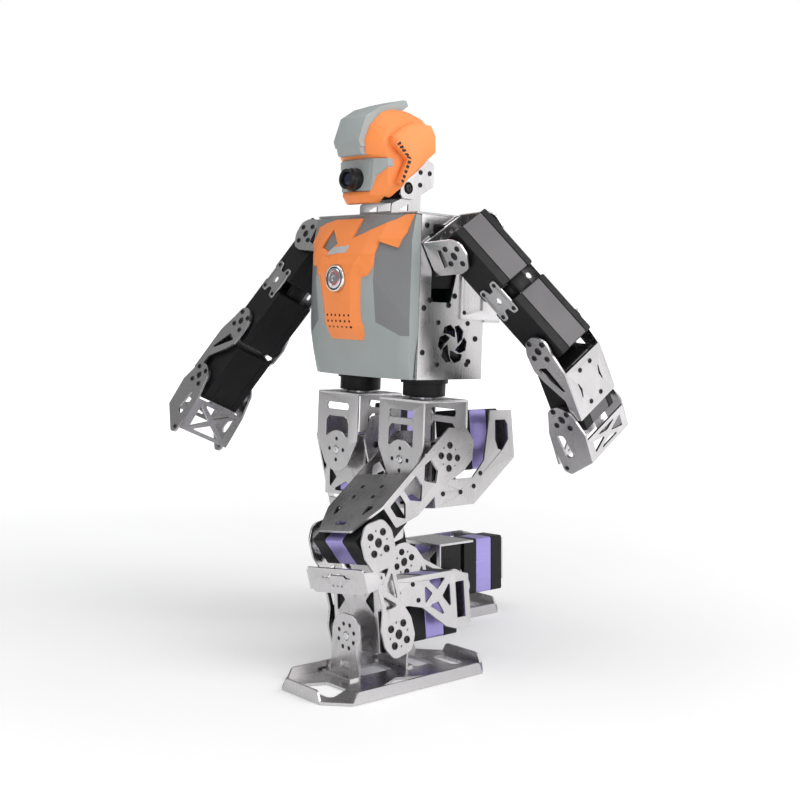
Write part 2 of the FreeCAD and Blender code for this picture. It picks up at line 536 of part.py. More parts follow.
def waist_plate():
    pts = [(-hw + sheet, body_y0 + sheet), (hw - sheet, body_y0 + sheet), (hw - sheet, body_y1 - sheet), (-hw + sheet, body_y1 - sheet)]
    return plate("z", body_z0, body_z0 + 2, pts, [("hole", s * hip_x, 0, 7.0) for s in (-1, 1)] + [[(-8, 12, 3), (8, 12, 3), (8, 28, 3), (-8, 28, 3)]])


def yaw_bearings():
    return Part.makeCompound([ring((s * hip_x, 0, body_z0 - 11.4), (0, 0, 1), 7.2, 14.0, 11.4).fuse(ring((s * hip_x, 0, body_z0 - 3.0), (0, 0, 1), 7.2, 15.6, 3.0)).removeSplitter() for s in (-1, 1)])


def yaw_servos():
    out = []
    for s in (-1, 1):
        sv = put(leg_servo(), (s * hip_x, 0, body_z0 + 2 + leg_H / 2 + 0.8), axes_rot((1, 0, 0), (0, -1, 0), (0, 0, -1)))
        out += [sv]
    return Part.makeCompound(out)


def shoulder_servos():
    out = []
    for s in (-1, 1):
        o = (s * (hw - sheet - 0.9 - arm_H / 2), sho_y, sho_z)
        rot = axes_rot((0, 1, 0), (0, 0, 1), (1, 0, 0)) if s > 0 else axes_rot((0, -1, 0), (0, 0, 1), (-1, 0, 0))
        out.append(put(servo(40.0, 20.0, arm_H, 10.0, 7.0, 5.0), o, rot))
    return Part.makeCompound(out)


# horizontal half outlines of the chest cover, front to back
def cover_levels(off):
    o = off
    def L(z, y0, x1, y1, x2, y2, x3, y3, yb):
        return (z, [(0, y0 - o), (x1 + o * 0.3, y1 - o), (x2 + o * 0.8, y2 - o * 0.8), (x3 + o, y3 - o * 0.3), (x3 + o, yb), (0, yb)])
    return [
        L(178.3, -34.2, 22, -33.4, 38.0, -31.0, 46.5, -27.0, -24.0),
        L(194.0, -38.5, 22, -38.0, 41.0, -34.5, 47.5, -30.5, -24.0),
        L(206.0, -42.0, 22, -41.0, 44.0, -34.8, 49.4, -31.5, -24.0),
        L(214.0, -46.0, 21, -44.5, 28.5, -42.0, 49.4, -32.0, -24.0),
        L(241.0, -51.5, 21.5, -48.5, 28.5, -45.5, 49.4, -32.0, -24.0),
        L(257.0, -49.5, 20, -47.0, 28.5, -44.5, 49.4, -32.0, -24.0),
        L(267.0, -43.5, 20, -42.5, 28.5, -41.0, 49.4, -32.0, -24.0),
        L(283.0, -34.0, 18, -34.0, 30.0, -32.5, 49.4, -29.0, -24.0),
    ]


def chest_cover():
    outer = slices([(z, sym(h)) for z, h in cover_levels(0)])
    inner = slices([(z, sym([(x * (1 - 2.0 / 49.4), y + (2.0 if y < -24.5 else 1.0)) for x, y in h])) for z, h in cover_levels(0)])
    return outer.cut(inner)


# the raised front block of the orange panel: height, front edge and outer edge of half an outline
panel_block = [
    (202.0, -41.6, 15.6, -41.2, 17.4, -39.0),
    (203.6, -43.6, 13.6, -43.2, 18.4, -39.4),
    (211.5, -49.6, 11.6, -49.1, 21.4, -42.0),
    (244.5, -53.5, 14.8, -52.8, 25.4, -46.6),
    (250.0, -53.2, 17.0, -52.4, 28.4, -45.6),
    (265.5, -45.4, 20.0, -45.0, 29.5, -40.6),
]


def chest_panel():
    """Thin skin with a collar over the cover, and a raised block with slanted sides below it."""
    o0 = slices([(z, sym(h)) for z, h in cover_levels(0.0)])
    o1 = slices([(z, sym(h)) for z, h in cover_levels(1.8)])
    collar = [(0, 244), (24.6, 244), (28.0, 250), (29.3, 265.5), (41, 261.5), (44.6, 270), (48.2, 283.2), (43.6, 283.2), (6.0, 267.2), (6.0, 281.0),
              (-19, 281.0), (-42.5, 277.0), (-45.5, 263.8), (-33.0, 250.0), (-25.5, 250), (-20, 244)]
    band = Part.Face(outline("y", collar, -62)).extrude(V(0, 37.5, 0))
    kite = Part.Face(outline("y", [(-17.8, 274.2), (-22.5, 262.0), (-13.4, 258.4), (-6.6, 264.4)], -62)).extrude(V(0, 37.5, 0))
    skin = band.common(o1)
    block = slices([(z, sym([(0, y0), (x1, y1), (x2, y2), (x2, -30.0), (0, -30.0)])) for z, y0, x1, y1, x2, y2 in panel_block])
    block = block.cut(Part.Face(outline("y", [(6, 300), (6, 267.2), (60, 290.8)], -62)).extrude(V(0, 37.5, 0)))
    s = skin.fuse(block).cut(kite).cut(o0)
    s = s.cut(cyl((badge_x, -60, 241.3), (0, 1, 0), 9.1, 30))
    return max(s.Solids, key=lambda a: a.Volume)


def chest_badge():
    o0 = slices([(z, sym(h)) for z, h in cover_levels(0.0)])
    a = cyl((badge_x, -55.0, 241.3), (0, 1, 0), 8.8, 8.0).cut(o0)
    a = max(a.Solids, key=lambda q: q.Volume)
    return a.cut(ring((badge_x, -55.0, 241.3), (0, 1, 0), 6.4, 7.3, 0.8))


def battery():
    return fuse([box(-26, 26, -20, 6, 223, 236)])


def board():
    s = box(-38, 38, 29.0, 30.6, 223, 265)
    chips = [box(-20, -6, 26.4, 29.0, 240, 254), box(4, 18, 27.0, 29.0, 226, 236), box(24, 34, 24, 29.0, 250, 262), box(24, 34, 24, 29.0, 236, 248), box(-34, -26, 26, 29.0, 227, 235)]
    return fuse([s] + chips)


def port_brackets():
    """Side cheeks of the rear electronics bay, each with a rectangular port window."""
    out = []
    pts = [(12.5, 217.5), (49.5, 217.5), (33, 238), (23, 250), (18.8, 250), (12.5, 246.2)]
    for s in (-1, 1):
        x0, x1 = (hw, hw + sheet) if s > 0 else (-hw - sheet, -hw)
        p = plate("x", x0, x1, pts, [[(20, 224, 0.5), (33, 224, 0.5), (33, 236, 0.5), (23, 243, 0.5), (20, 243, 0.5)], ("hole", 15.5, 245, 1.2), ("hole", 15.5, 222, 1.2)])
        out.append(p)
    back = plate("y", 48.0, 49.5, [(-hw - sheet, 217.5), (hw + sheet, 217.5), (hw + sheet, 219.5), (-hw - sheet, 219.5)])
    tray = box(-hw - sheet, hw + sheet, body_y1, 49.5, 216.0, 217.5)
    return Part.makeCompound(legs(out + [tray, back]))


def fan_frame():
    """Shallow square frame behind the side wall, with crossed arms and a centre pin."""
    fy, fz = fan_y, fan_z
    x = hw - sheet
    s = box(x - fan_d, x, fy - 15, fy + 15, fz - 15, fz + 15).cut(cyl((x - fan_d - 1, fy, fz), (1, 0, 0), 13.8, fan_d + 2))
    arms_ = [box(x - fan_d, x - fan_d + 1.0, fy - 14.5, fy + 14.5, fz - 1.2, fz + 1.2), box(x - fan_d, x - fan_d + 1.0, fy - 1.2, fy + 1.2, fz - 14.5, fz + 14.5),
             cyl((x - fan_d, fy, fz), (1, 0, 0), 5.2, 1.0), cyl((x - fan_d + 0.9, fy, fz), (1, 0, 0), 1.0, 1.7)]
    return fuse([s] + arms_)


def fan_rotor():
    fy, fz = fan_y, fan_z
    x = hw - sheet
    hub = cyl((x - fan_d + 1.35, fy, fz), (1, 0, 0), 5.0, 3.6).cut(cyl((x - fan_d + 1.3, fy, fz), (1, 0, 0), 1.05, 1.6))
    bl = []
    for i in range(7):
        b = Part.makeBox(1.1, 9.0, 4.6)
        b.translate(V(-0.55, 4.2, -2.3))
        b.rotate(V(0, 0, 0), Y, 35)
        b.rotate(V(0, 0, 0), X, 360.0 * i / 7)
        b.translate(V(x - fan_d + 3.2, fy, fz))
        bl.append(b)
    return fuse([hub] + bl)


def chassis_screws():
    out = []
    pts = [(-19.6, 279.7 - 3.0), (-15.2, 274.5 - 4.0), (-15.0, 229.0), (-20.0, 224.0), (-20.1, 195.8), (22, 190), (28, 262), (28, 205), (2.3, 226.5), (7.5, 232.5)]
    for s in (-1, 1):
        for y, z in pts:
            p = (s * hw, y, z)
            out.append(Part.makeCone(1.9, 1.4, 1.1, V(*p), V(s, 0, 0)))
    for sx in (-1, 1):
        for z in (186, 268):
            out.append(Part.makeCone(1.9, 1.4, 1.1, V(sx * 42, body_y1, z), V(0, 1, 0)))
    return Part.makeCompound(out)


# ---- head ---------------------------------------------------------------------
def pan_servo():
    return put(servo(40.0, 20.0, 28.0, 10.0, 7.0, 5.0), (0, neck_y, body_z1 - 2 - 1.5 - 14.0 + 0.4), axes_rot((-1, 0, 0), (0, -1, 0), (0, 0, 1)))


def neck_bracket():
    """Turns on the pan servo: a base, two uprights and a front tie."""
    z0 = body_z1 + 0.4
    y = neck_y
    base = plate("z", z0, z0 + 1.2, [(-15.8, y - 12, 2), (15.8, y - 12, 2), (15.8, y + 14, 2), (-15.8, y + 14, 2)], disc_holes(0, y, False))
    up = []
    for s in (1, -1):
        a, b = (14.6, 15.8) if s > 0 else (-15.8, -14.6)
        up.append(plate("x", a, b, [(y - 12, z0), (y + 14, z0), (y + 14, tilt_z + 4, 2), (y + 9, tilt_z + 8, 2), (y - 1, tilt_z - 6, 3), (y - 12, tilt_z - 11, 2)],
                        [[(y - 6, z0 + 2.4, 0.5), (y + 3, z0 + 2.4, 0.5), (y + 3, z0 + 7, 0.5)]]))
    hub = disc(8.6, 1.3, (0, y, z0 - 1.3), (0, 0, 1))
    up = [u.cut(cyl((-20, y, tilt_z), (1, 0, 0), 4.3, 40)) for u in up]
    return Part.makeCompound(legs([base] + up) + [hub])


def tilt_servo():
    """Micro servo across the neck, held between the uprights."""
    y = neck_y
    z = tilt_z
    s = box(-14.6, 14.6, y - 5.5, y + 13.0, z - 7.5, z + 5.5)
    s = s.fuse([cyl((-16.6, y, z), (1, 0, 0), 4.0, 33.2)])
    return s.removeSplitter()


def tilt_bracket():
    """U that carries the head on the tilt servo's two shafts."""
    y, z = neck_y, tilt_z
    side = []
    for s in (1, -1):
        a, b = (17.2, 18.6) if s > 0 else (-18.6, -17.2)
        side.append(plate("x", a, b, [(y - 7, z - 7, 4), (y + 6, z - 7, 3), (y + 23, z + 3, 3), (y + 23, z + 18, 3), (y + 14, z + 22, 3), (y - 7, z + 22, 3)],
                          [("hole", y, z, 4.05)] + [("hole", y + 10.5, z + 11.5, 1.2), ("hole", y + 19, z + 11.5, 1.2), ("hole", y + 10.5, z + 3.0, 1.2)]))
    top = box(-18.6, 18.6, y - 7, y + 14, z + 20.6, z + 22)
    return Part.makeCompound(legs(side + [top]))


def head_outer(off=0.0):
    """Half outlines of the head shell from the chin up: front, crest edge, cheek crease, side, rear corner, rear."""
    H = [
        (291.3, [(0, -39), (10, -37), (14, -33), (14.5, -30), (11, -27), (0, -27)]),
        (296.2, [(0, -41.5), (13.5, -37.5), (20.0, -31), (21.0, -25), (15, -20), (0, -20)]),
        (303.0, [(0, -38.5), (14, -36.5), (22.3, -30), (24.5, -19), (17, -12), (0, -12)]),
        (320.3, [(0, -37), (14.5, -36), (22.8, -31), (27, -8), (20.5, 4), (0, 4)]),
        (322.6, [(0, -42.5), (13, -41.2), (22.5, -33), (27, -9), (21, 6), (0, 6)]),
        (331.0, [(0, -44.5), (13, -42.8), (21.8, -35), (27, -12), (22.5, 9), (0, 11)]),
        (341.5, [(0, -40.5), (13, -38.5), (20.5, -30), (26, -10), (21, 10), (0, 11)]),
        (350.5, [(0, -31), (13, -30), (16.5, -21), (19, -10), (15, 5), (0, 6.5)]),
        (354.2, [(0, -23), (12, -22), (13.5, -15), (14, -10), (11.5, -3), (0, -1)]),
    ]
    if off:
        H = [(z, [(x + (off if x > 0 else 0), y - off * (0.9 if k < 3 else 0.2)) for k, (x, y) in enumerate(h)]) for z, h in H]
    return H


ear_pts = [(-22.5, 340.5), (-13.0, 345.5), (2.8, 345.0), (7.2, 339.0), (7.8, 327.6), (-5.9, 316.8), (-15.7, 308.8), (-21.5, 302.6), (-25.4, 304.2), (-16.6, 321.4), (-29.6, 329.0), (-30.5, 334.0)]
vent_pts = [(-30.2, 328.9), (-27.0, 332.4), (-14.9, 320.6), (-22.0, 303.8), (-25.4, 304.6), (-19.4, 320.2)]


def ear_slab():
    """Raised ear plate with slanted edges, on the left side."""
    cy, cz = -10.0, 330.0
    small = [(cy + (y - cy) * 0.90, cz + (z - cz) * 0.93) for y, z in ear_pts]
    w0 = outline("x", ear_pts, 26.6)
    w1 = outline("x", small, 28.6)
    top = Part.makeLoft([w0, w1], True, True)
    return plate("x", 19.6, 26.6, ear_pts).fuse(top)


def head_shell():
    H = head_outer()
    outer = slices([(z, sym(h)) for z, h in H])
    cy = -14.0
    inner = slices([(z + (2.4 if k == 0 else (-2.4 if k == len(H) - 1 else 0)), sym([(x * 0.91, cy + (y - cy) * 0.91) for x, y in h])) for k, (z, h) in enumerate(H)])
    # the shell is open below and behind, where the bracket enters
    openb = box(-19.4, 19.4, -24, 30, 280, 312).fuse(box(-19.4, 19.4, -30, 30, 280, 306)).fuse(box(-19.6, 19.6, -15.6, 30, 280, 326.2))
    mouth = box(-13.5, 13.5, -60, -20, 298.4, 319.6)
    ear = ear_slab().cut(inner)
    ear = max(ear.Solids, key=lambda q: q.Volume)
    s = outer.fuse([ear, ear.mirror(V(0, 0, 0), X)]).cut([inner, openb, mouth])
    return max(s.Solids, key=lambda q: q.Volume)


def crest_solid():
    pts = [(-38, 321.6), (-44.2, 322.0), (-47.8, 331.2), (-42.4, 346.8), (-31.0, 354.4), (-17, 359.4), (-8, 362.2), (-4.8, 362.4), (-5.2, 358.4), (-14, 352), (-28, 338), (-34, 329)]
    body = plate("x", -12.6, 12.6, pts)
    # narrower lower tip and slanted shoulders along the top
    tip = Part.Face(outline("z", [(-8.6, -60), (8.6, -60), (12.8, -38), (12.8, 20), (-12.8, 20), (-12.8, -38)], 315)).extrude(V(0, 0, 12))
    body = body.common(tip.fuse(box(-13, 13, -60, 20, 327, 380)).removeSplitter())
    for s in (1, -1):
        w = Part.Face(Part.makePolygon([V(s * 7.5, -70, 366), V(s * 14, -70, 366), V(s * 14, -70, 356.5), V(s * 7.5, -70, 366)])).extrude(V(0, 100, 0))
        body = body.cut(w)
    return body


def head_crest():
    outer = slices([(z, sym(h)) for z, h in head_outer()])
    s = crest_solid().cut(outer)
    return max(s.Solids, key=lambda q: q.Volume)


def face_mask():
    """Flat plate round the camera, with a thin wing on each cheek."""
    s = plate("y", -37.9, -32.5, [(-13.2, 298.7), (13.2, 298.7), (13.2, 319.3), (-13.2, 319.3)])
    wings = slices([(z, sym(h)) for z, h in head_outer(0.9)])
    zone = Part.Face(outline("y", [(-23.8, 319.9), (23.8, 319.9), (23.8, 315.2), (16.5, 308.6), (14.0, 299.0), (-14.0, 299.0), (-16.5, 308.6), (-23.8, 315.2)], -60)).extrude(V(0, 33, 0))
    wings = wings.common(zone).cut(slices([(z, sym(h)) for z, h in head_outer()]))
    s = s.fuse(wings).cut(cyl((0, -60, cam_z), (0, 1, 0), 7.7, 40))
    return max(s.removeSplitter().Solids, key=lambda q: q.Volume)


def camera_barrel():
    b = ring((0, -42.5, cam_z), (0, 1, 0), 4.6, 7.4, 16.5)
    front = ring((0, -47.3, cam_z), (0, 1, 0), 4.6, 6.7, 4.8)
    back = cyl((0, -30, cam_z), (0, 1, 0), 7.4, 5.0)
    return fuse([b, front, back])


def lens_glass():
    return Part.makeCylinder(4.5, 2.0, V(0, -45.6, cam_z), Y)


def head_vents():
    """Chevron vent strips let into the ear plates, one each side, each with short slots."""
    out = []
    def mid(t0, t1, a, b, w=0.28):
        p = [a[0][i] + (a[1][i] - a[0][i]) * t0 for i in (0, 1)], [a[0][i] + (a[1][i] - a[0][i]) * t1 for i in (0, 1)]
        q = [b[0][i] + (b[1][i] - b[0][i]) * t0 for i in (0, 1)], [b[0][i] + (b[1][i] - b[0][i]) * t1 for i in (0, 1)]
        f = lambda u, v, k: (u[0] + (v[0] - u[0]) * k, u[1] + (v[1] - u[1]) * k)
        return [f(p[0], q[0], w), f(p[1], q[1], w), f(p[1], q[1], 1 - w), f(p[0], q[0], 1 - w)]
    v = vent_pts
    up = ((v[0], v[5]), (v[1], v[2]))
    dn = ((v[5], v[4]), (v[2], v[3]))
    cuts = [mid(0.08 + 0.30 * i, 0.26 + 0.30 * i, up[0], up[1]) for i in range(3)] + [mid(0.10 + 0.30 * i, 0.30 + 0.30 * i, dn[0], dn[1]) for i in range(3)]
    for s in (1, -1):
        a = plate("x", 25.5, 29.0, vent_pts, cuts)
        if s < 0:
            a = a.mirror(V(0, 0, 0), X)
        out.append(a)
    return out


def vents_cut():
    shell = head_shell()
    out = []
    for a in head_vents():
        b = a.cut(shell)
        if b.Solids:
            out.append(max(b.Solids, key=lambda q: q.Volume))
    return Part.makeCompound(out)


# ---- placing -------------------------------------------------------------------
def Rx(a):
    return Rotation(X, a)


def Ry(a):
    return Rotation(Y, a)


def leg_frames(q):
    """Placements of the bodies of a left leg with the given angles."""
    roll = Ry(-q["splay"])
    H = V(hip_x, 0, hip_z)
    t, c = math.radians(q["thigh"]), math.radians(q["calf"])
    K = H + roll.multVec(V(0, -math.sin(t) * thigh_len, -math.cos(t) * thigh_len))
    A = K + roll.multVec(V(0, -math.sin(c) * calf_len, -math.cos(c) * calf_len))
    return dict(yaw=Placement(H, Rotation()), block=Placement(H, roll), thigh=Placement(H, roll.multiply(Rx(-q["thigh"]))),
                calf=Placement(K, roll.multiply(Rx(-q["calf"]))), ankle=Placement(A, roll), foot=Placement(A, Rotation()))


def arm_frames(q):
    P = V(sho_x, sho_y, sho_z)
    R = Rx(q["pitch"])
    up = R.multiply(Ry(-q["roll"]))
    E = P + up.multVec(V(0, 0, -upper_arm))
    fo = R.multiply(Ry(-q["fore"]))
    W = E + fo.multVec(V(0, 0, -fore_arm))
    ha = R.multiply(Ry(-q["hand"]))
    return dict(shoulder=Placement(P, R), upper=Placement(P, up), fore=Placement(E, fo), hand=Placement(W, ha))


def placed(s, pl, side):
    t = s.copy()
    t.Placement = pl.multiply(t.Placement)
    if side == "r":
        t = t.mirror(V(0, 0, 0), X)
    return t


def build():
    out = {}
    ankle_h = {}
    for side, name in (("l", "left"), ("r", "right")):
        F = leg_frames(pose[side])
        ankle_h[side] = F["foot"].Base.z
        P = lambda s, k: placed(s, F[k], side)
        out[name + "_hip_bracket"] = P(hip_bracket(), "yaw")
        out[name + "_hip_frame"] = P(block_frame(-1), "block")
        out[name + "_hip_servos"] = P(block_servos(-1), "block")
        out[name + "_thigh_bracket"] = P(thigh_bracket(), "thigh")
        out[name + "_knee_servo"] = P(knee_servo(), "thigh")
        out[name + "_calf_links"] = P(calf_links(), "calf")
        out[name + "_calf_plate"] = P(calf_plate(), "calf")
        out[name + "_ankle_frame"] = P(block_frame(1), "ankle")
        out[name + "_ankle_servos"] = P(block_servos(1), "ankle")
        out[name + "_foot_bracket"] = P(foot_bracket(F["foot"].Base.z), "foot")
        out[name + "_foot_plate"] = P(foot_plate(F["foot"].Base.z), "foot")
        G = arm_frames(arms[side])
        Q = lambda s, k: placed(s, G[k], side)
        out[name + "_shoulder_bracket"] = Q(shoulder_bracket(), "shoulder")
        out[name + "_upper_arm_servos"] = Q(upper_servos(), "upper")
        out[name + "_arm_join_plates"] = Q(join_plates(), "upper")
        out[name + "_forearm_bracket"] = Q(forearm_bracket(), "fore")
        out[name + "_wrist_servo"] = Q(wrist_servo(), "fore")
        out[name + "_hand_bracket"] = Q(hand(), "hand")
    out["torso_chassis"] = chassis()
    out["torso_top_plate"] = top_plate()
    out["waist_plate"] = waist_plate()
    out["hip_yaw_bearings"] = yaw_bearings()
    out["hip_yaw_servos"] = yaw_servos()
    out["shoulder_pitch_servos"] = shoulder_servos()
    out["chest_cover"] = chest_cover()
    out["chest_panel"] = chest_panel()
    out["chest_badge"] = chest_badge()
    out["battery_pack"] = battery()
    out["controller_board"] = board()
    out["port_bracket"] = port_brackets()
    out["fan_frame"] = fan_frame()
    out["fan_rotor"] = fan_rotor()
    out["chassis_screws"] = chassis_screws()
    out["neck_pan_servo"] = pan_servo()
    out["neck_bracket"] = neck_bracket()
    out["head_tilt_servo"] = tilt_servo()
    out["head_bracket"] = tilt_bracket()
    out["head_shell"] = head_shell()
    out["head_crest"] = head_crest()
    out["face_mask"] = face_mask()
    out["camera_barrel"] = camera_barrel()
    out["camera_lens"] = lens_glass()
    out["head_vents"] = vents_cut()
    for s in out.values():
        s.translate(V(-org_x, -org_y, 0))
    return out


if __name__ == "__main__":
    for name, s in build().items():
        ok = s.isValid()
        print(name, len(s.Solids), "solids", round(s.Volume, 1), "mm3", "valid" if ok else "NOT VALID")
        s.exportStep("parts/" + name + ".step")
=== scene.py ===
import bpy
import bmesh
import json
import math
from mathutils import Vector, Matrix
from mathutils.bvhtree import BVHTree

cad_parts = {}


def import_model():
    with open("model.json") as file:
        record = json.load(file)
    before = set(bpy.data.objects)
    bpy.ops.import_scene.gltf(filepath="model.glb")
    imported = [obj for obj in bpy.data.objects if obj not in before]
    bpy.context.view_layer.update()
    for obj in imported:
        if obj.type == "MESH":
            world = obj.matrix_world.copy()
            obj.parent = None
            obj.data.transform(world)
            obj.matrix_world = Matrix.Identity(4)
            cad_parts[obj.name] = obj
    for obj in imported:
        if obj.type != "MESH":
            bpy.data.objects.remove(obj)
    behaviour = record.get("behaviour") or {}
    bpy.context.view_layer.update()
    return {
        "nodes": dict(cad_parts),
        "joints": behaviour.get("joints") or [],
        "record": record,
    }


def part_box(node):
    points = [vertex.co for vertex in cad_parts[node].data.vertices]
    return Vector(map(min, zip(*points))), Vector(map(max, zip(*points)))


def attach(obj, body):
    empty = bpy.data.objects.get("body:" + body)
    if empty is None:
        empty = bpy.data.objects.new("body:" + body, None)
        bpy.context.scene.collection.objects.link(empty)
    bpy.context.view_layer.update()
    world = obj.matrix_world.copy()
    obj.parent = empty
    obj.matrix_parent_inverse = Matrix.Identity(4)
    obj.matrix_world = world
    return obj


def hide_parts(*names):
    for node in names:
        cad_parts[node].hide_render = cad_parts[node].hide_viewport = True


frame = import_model()
MM = 0.001
JT = {j["name"]: j for j in frame["joints"]}
BODY = {n: b for b, ns in frame["record"]["behaviour"]["bodies"].items() for n in ns}

_a = Vector(JT["left_hip_yaw"]["pos_m"])
_b = Vector(JT["right_hip_yaw"]["pos_m"])
ORG = Vector(((_a.x + _b.x) / 2, (_a.y + _b.y) / 2, 0.0))     # floor point midway between the hips


def lay(x, y, z):
    """Millimetres about the point between the hips, to row metres."""
    return ORG + Vector((x, y, z)) * MM


# ============================ materials ==================================
def nodes_of(name):
    m = bpy.data.materials.new(name)
    m.use_nodes = True
    nt = m.node_tree
    for n in list(nt.nodes):
        nt.nodes.remove(n)
    out = nt.nodes.new("ShaderNodeOutputMaterial")
    bs = nt.nodes.new("ShaderNodeBsdfPrincipled")
    nt.links.new(bs.outputs[0], out.inputs[0])
    return m, nt, bs


def coords(nt, scale, rot=(0, 0, 0)):
    tc = nt.nodes.new("ShaderNodeTexCoord")
    mp = nt.nodes.new("ShaderNodeMapping")
    mp.inputs["Scale"].default_value = scale
    mp.inputs["Rotation"].default_value = rot
    nt.links.new(tc.outputs["Object"], mp.inputs["Vector"])
    return mp.outputs[0]


def noise(nt, vec, scale=1.0, detail=3.0, rough=0.5):
    n = nt.nodes.new("ShaderNodeTexNoise")
    n.inputs["Scale"].default_value = scale
    n.inputs["Detail"].default_value = detail
    n.inputs["Roughness"].default_value = rough
    nt.links.new(vec, n.inputs["Vector"])
    return n.outputs["Fac"]


def ramp(nt, fac, stops):
    r = nt.nodes.new("ShaderNodeValToRGB")
    el = r.color_ramp.elements
    while len(el) < len(stops):
        el.new(0.5)
    for e, (p, c) in zip(el, stops):
        e.position = p
        e.color = (c[0], c[1], c[2], 1.0) if hasattr(c, "__len__") else (c, c, c, 1.0)
    nt.links.new(fac, r.inputs[0])
    return r.outputs[0]


def maprange(nt, fac, a, b, lo=0.3, hi=0.7):
    r = nt.nodes.new("ShaderNodeMapRange")
    r.inputs["From Min"].default_value = lo
    r.inputs["From Max"].default_value = hi
    r.inputs["To Min"].default_value = a
    r.inputs["To Max"].default_value = b
    nt.links.new(fac, r.inputs["Value"])
    return r.outputs[0]


def mix(nt, fac, a, b):
    m = nt.nodes.new("ShaderNodeMix")
    m.data_type = "RGBA"
    if isinstance(fac, (int, float)):
        m.inputs[0].default_value = fac
    else:
        nt.links.new(fac, m.inputs[0])
    for i, c in ((6, a), (7, b)):
        if hasattr(c, "is_linked"):
            nt.links.new(c, m.inputs[i])
        else:
            m.inputs[i].default_value = (c[0], c[1], c[2], 1.0)
    return m.outputs[2]


def bump(nt, bs, height, strength, dist, base=None):
    b = nt.nodes.new("ShaderNodeBump")
    b.inputs["Strength"].default_value = strength
    b.inputs["Distance"].default_value = dist
    nt.links.new(height, b.inputs["Height"])
    if base is not None:
        nt.links.new(base, b.inputs["Normal"])
    nt.links.new(b.outputs[0], bs.inputs["Normal"])
    return b.outputs[0]


# painted highlight: a mask of convex edges from pointiness; brushed() and moulded() lighten the colour there
def edges(nt, lo=0.52, hi=0.60):
    g = nt.nodes.new("ShaderNodeNewGeometry")
    return maprange(nt, g.outputs["Pointiness"], 0.0, 1.0, lo, hi)


def brushed(name, col, rough=(0.27, 0.42), along=(2600, 2600, 45), metal=1.0, grain=0.025, tint=0.05, edge_highlight=0.5):
    """Sheet metal with fine brush lines along local Z, faint handling marks and a painted highlight along the edges."""
    m, nt, bs = nodes_of(name)
    lines = noise(nt, coords(nt, along), 1.0, 4.0, 0.62)
    cloud = noise(nt, coords(nt, (34, 34, 34)), 1.0, 3.0, 0.55)
    smear = noise(nt, coords(nt, (60, 60, 36)), 1.0, 3.0, 0.55)
    mid = 0.5 * (rough[0] + rough[1])
    rough = (mid + (rough[0] - mid) * 0.55, mid + (rough[1] - mid) * 0.55)
    dark = tuple(c * (1.0 - tint) for c in col)
    lite = tuple(min(1.0, c * (1.0 + tint * 0.7)) for c in col)
    base = mix(nt, maprange(nt, lines, 0, 1, 0.3, 0.7), dark, lite)
    base = mix(nt, maprange(nt, cloud, 0.0, 0.25, 0.35, 0.75), base, tuple(c * 0.92 for c in col))
    # painted highlight: the colour is lightened along convex edges
    base = mix(nt, maprange(nt, edges(nt), 0.0, edge_highlight, 0.0, 1.0), base, tuple(min(1.0, c * 1.35) for c in col))
    nt.links.new(base, bs.inputs["Base Color"])
    rg = nt.nodes.new("ShaderNodeMath")
    rg.operation = "ADD"
    nt.links.new(maprange(nt, smear, rough[0], rough[1], 0.3, 0.7), rg.inputs[0])
    nt.links.new(maprange(nt, lines, -0.02, 0.025, 0.3, 0.7), rg.inputs[1])
    nt.links.new(rg.outputs[0], bs.inputs["Roughness"])
    bs.inputs["Metallic"].default_value = metal
    bump(nt, bs, lines, grain, 0.0001)
    return m


def moulded(name, col, rough=(0.42, 0.55), grain=0.10, scale=2600, spec=0.45, var=0.05, edge_highlight=0.25, coat=0.0):
    """Moulded plastic: fine spark texture, slow tone change and a painted highlight along the edges."""
    m, nt, bs = nodes_of(name)
    fine = noise(nt, coords(nt, (scale,) * 3), 1.0, 2.0, 0.6)
    slow = noise(nt, coords(nt, (28, 28, 28)), 1.0, 3.0, 0.5)
    mid = noise(nt, coords(nt, (240, 240, 240)), 1.0, 4.0, 0.6)
    a = tuple(c * (1 - var) for c in col)
    b = tuple(min(1, c * (1 + var)) for c in col)
    base = mix(nt, maprange(nt, slow, 0, 1, 0.3, 0.7), a, b)
    base = mix(nt, maprange(nt, fine, 0.0, 0.10, 0.35, 0.7), base, tuple(c * 0.7 for c in col))
    # painted highlight: the colour is lightened along convex edges
    base = mix(nt, maprange(nt, edges(nt), 0.0, edge_highlight, 0.0, 1.0), base, tuple(min(1, c * 1.2 + 0.05) for c in col))
    nt.links.new(base, bs.inputs["Base Color"])
    nt.links.new(maprange(nt, mid, rough[0], rough[1], 0.3, 0.7), bs.inputs["Roughness"])
    bs.inputs["Specular IOR Level"].default_value = spec
    if coat:
        bs.inputs["Coat Weight"].default_value = coat
        bs.inputs["Coat Roughness"].default_value = 0.25
    bump(nt, bs, fine, grain, 0.0001)
    return m


def glassy(name, col):
    m, nt, bs = nodes_of(name)
    n = noise(nt, coords(nt, (300, 300, 300)), 1.0, 2.0)
    nt.links.new(mix(nt, maprange(nt, n, 0, 1), col, tuple(c * 1.6 for c in col)), bs.inputs["Base Color"])
    nt.links.new(maprange(nt, n, 0.03, 0.07), bs.inputs["Roughness"])
    bs.inputs["Coat Weight"].default_value = 0.35
    bs.inputs["Coat Roughness"].default_value = 0.03
    bs.inputs["Specular IOR Level"].default_value = 0.3
    return m


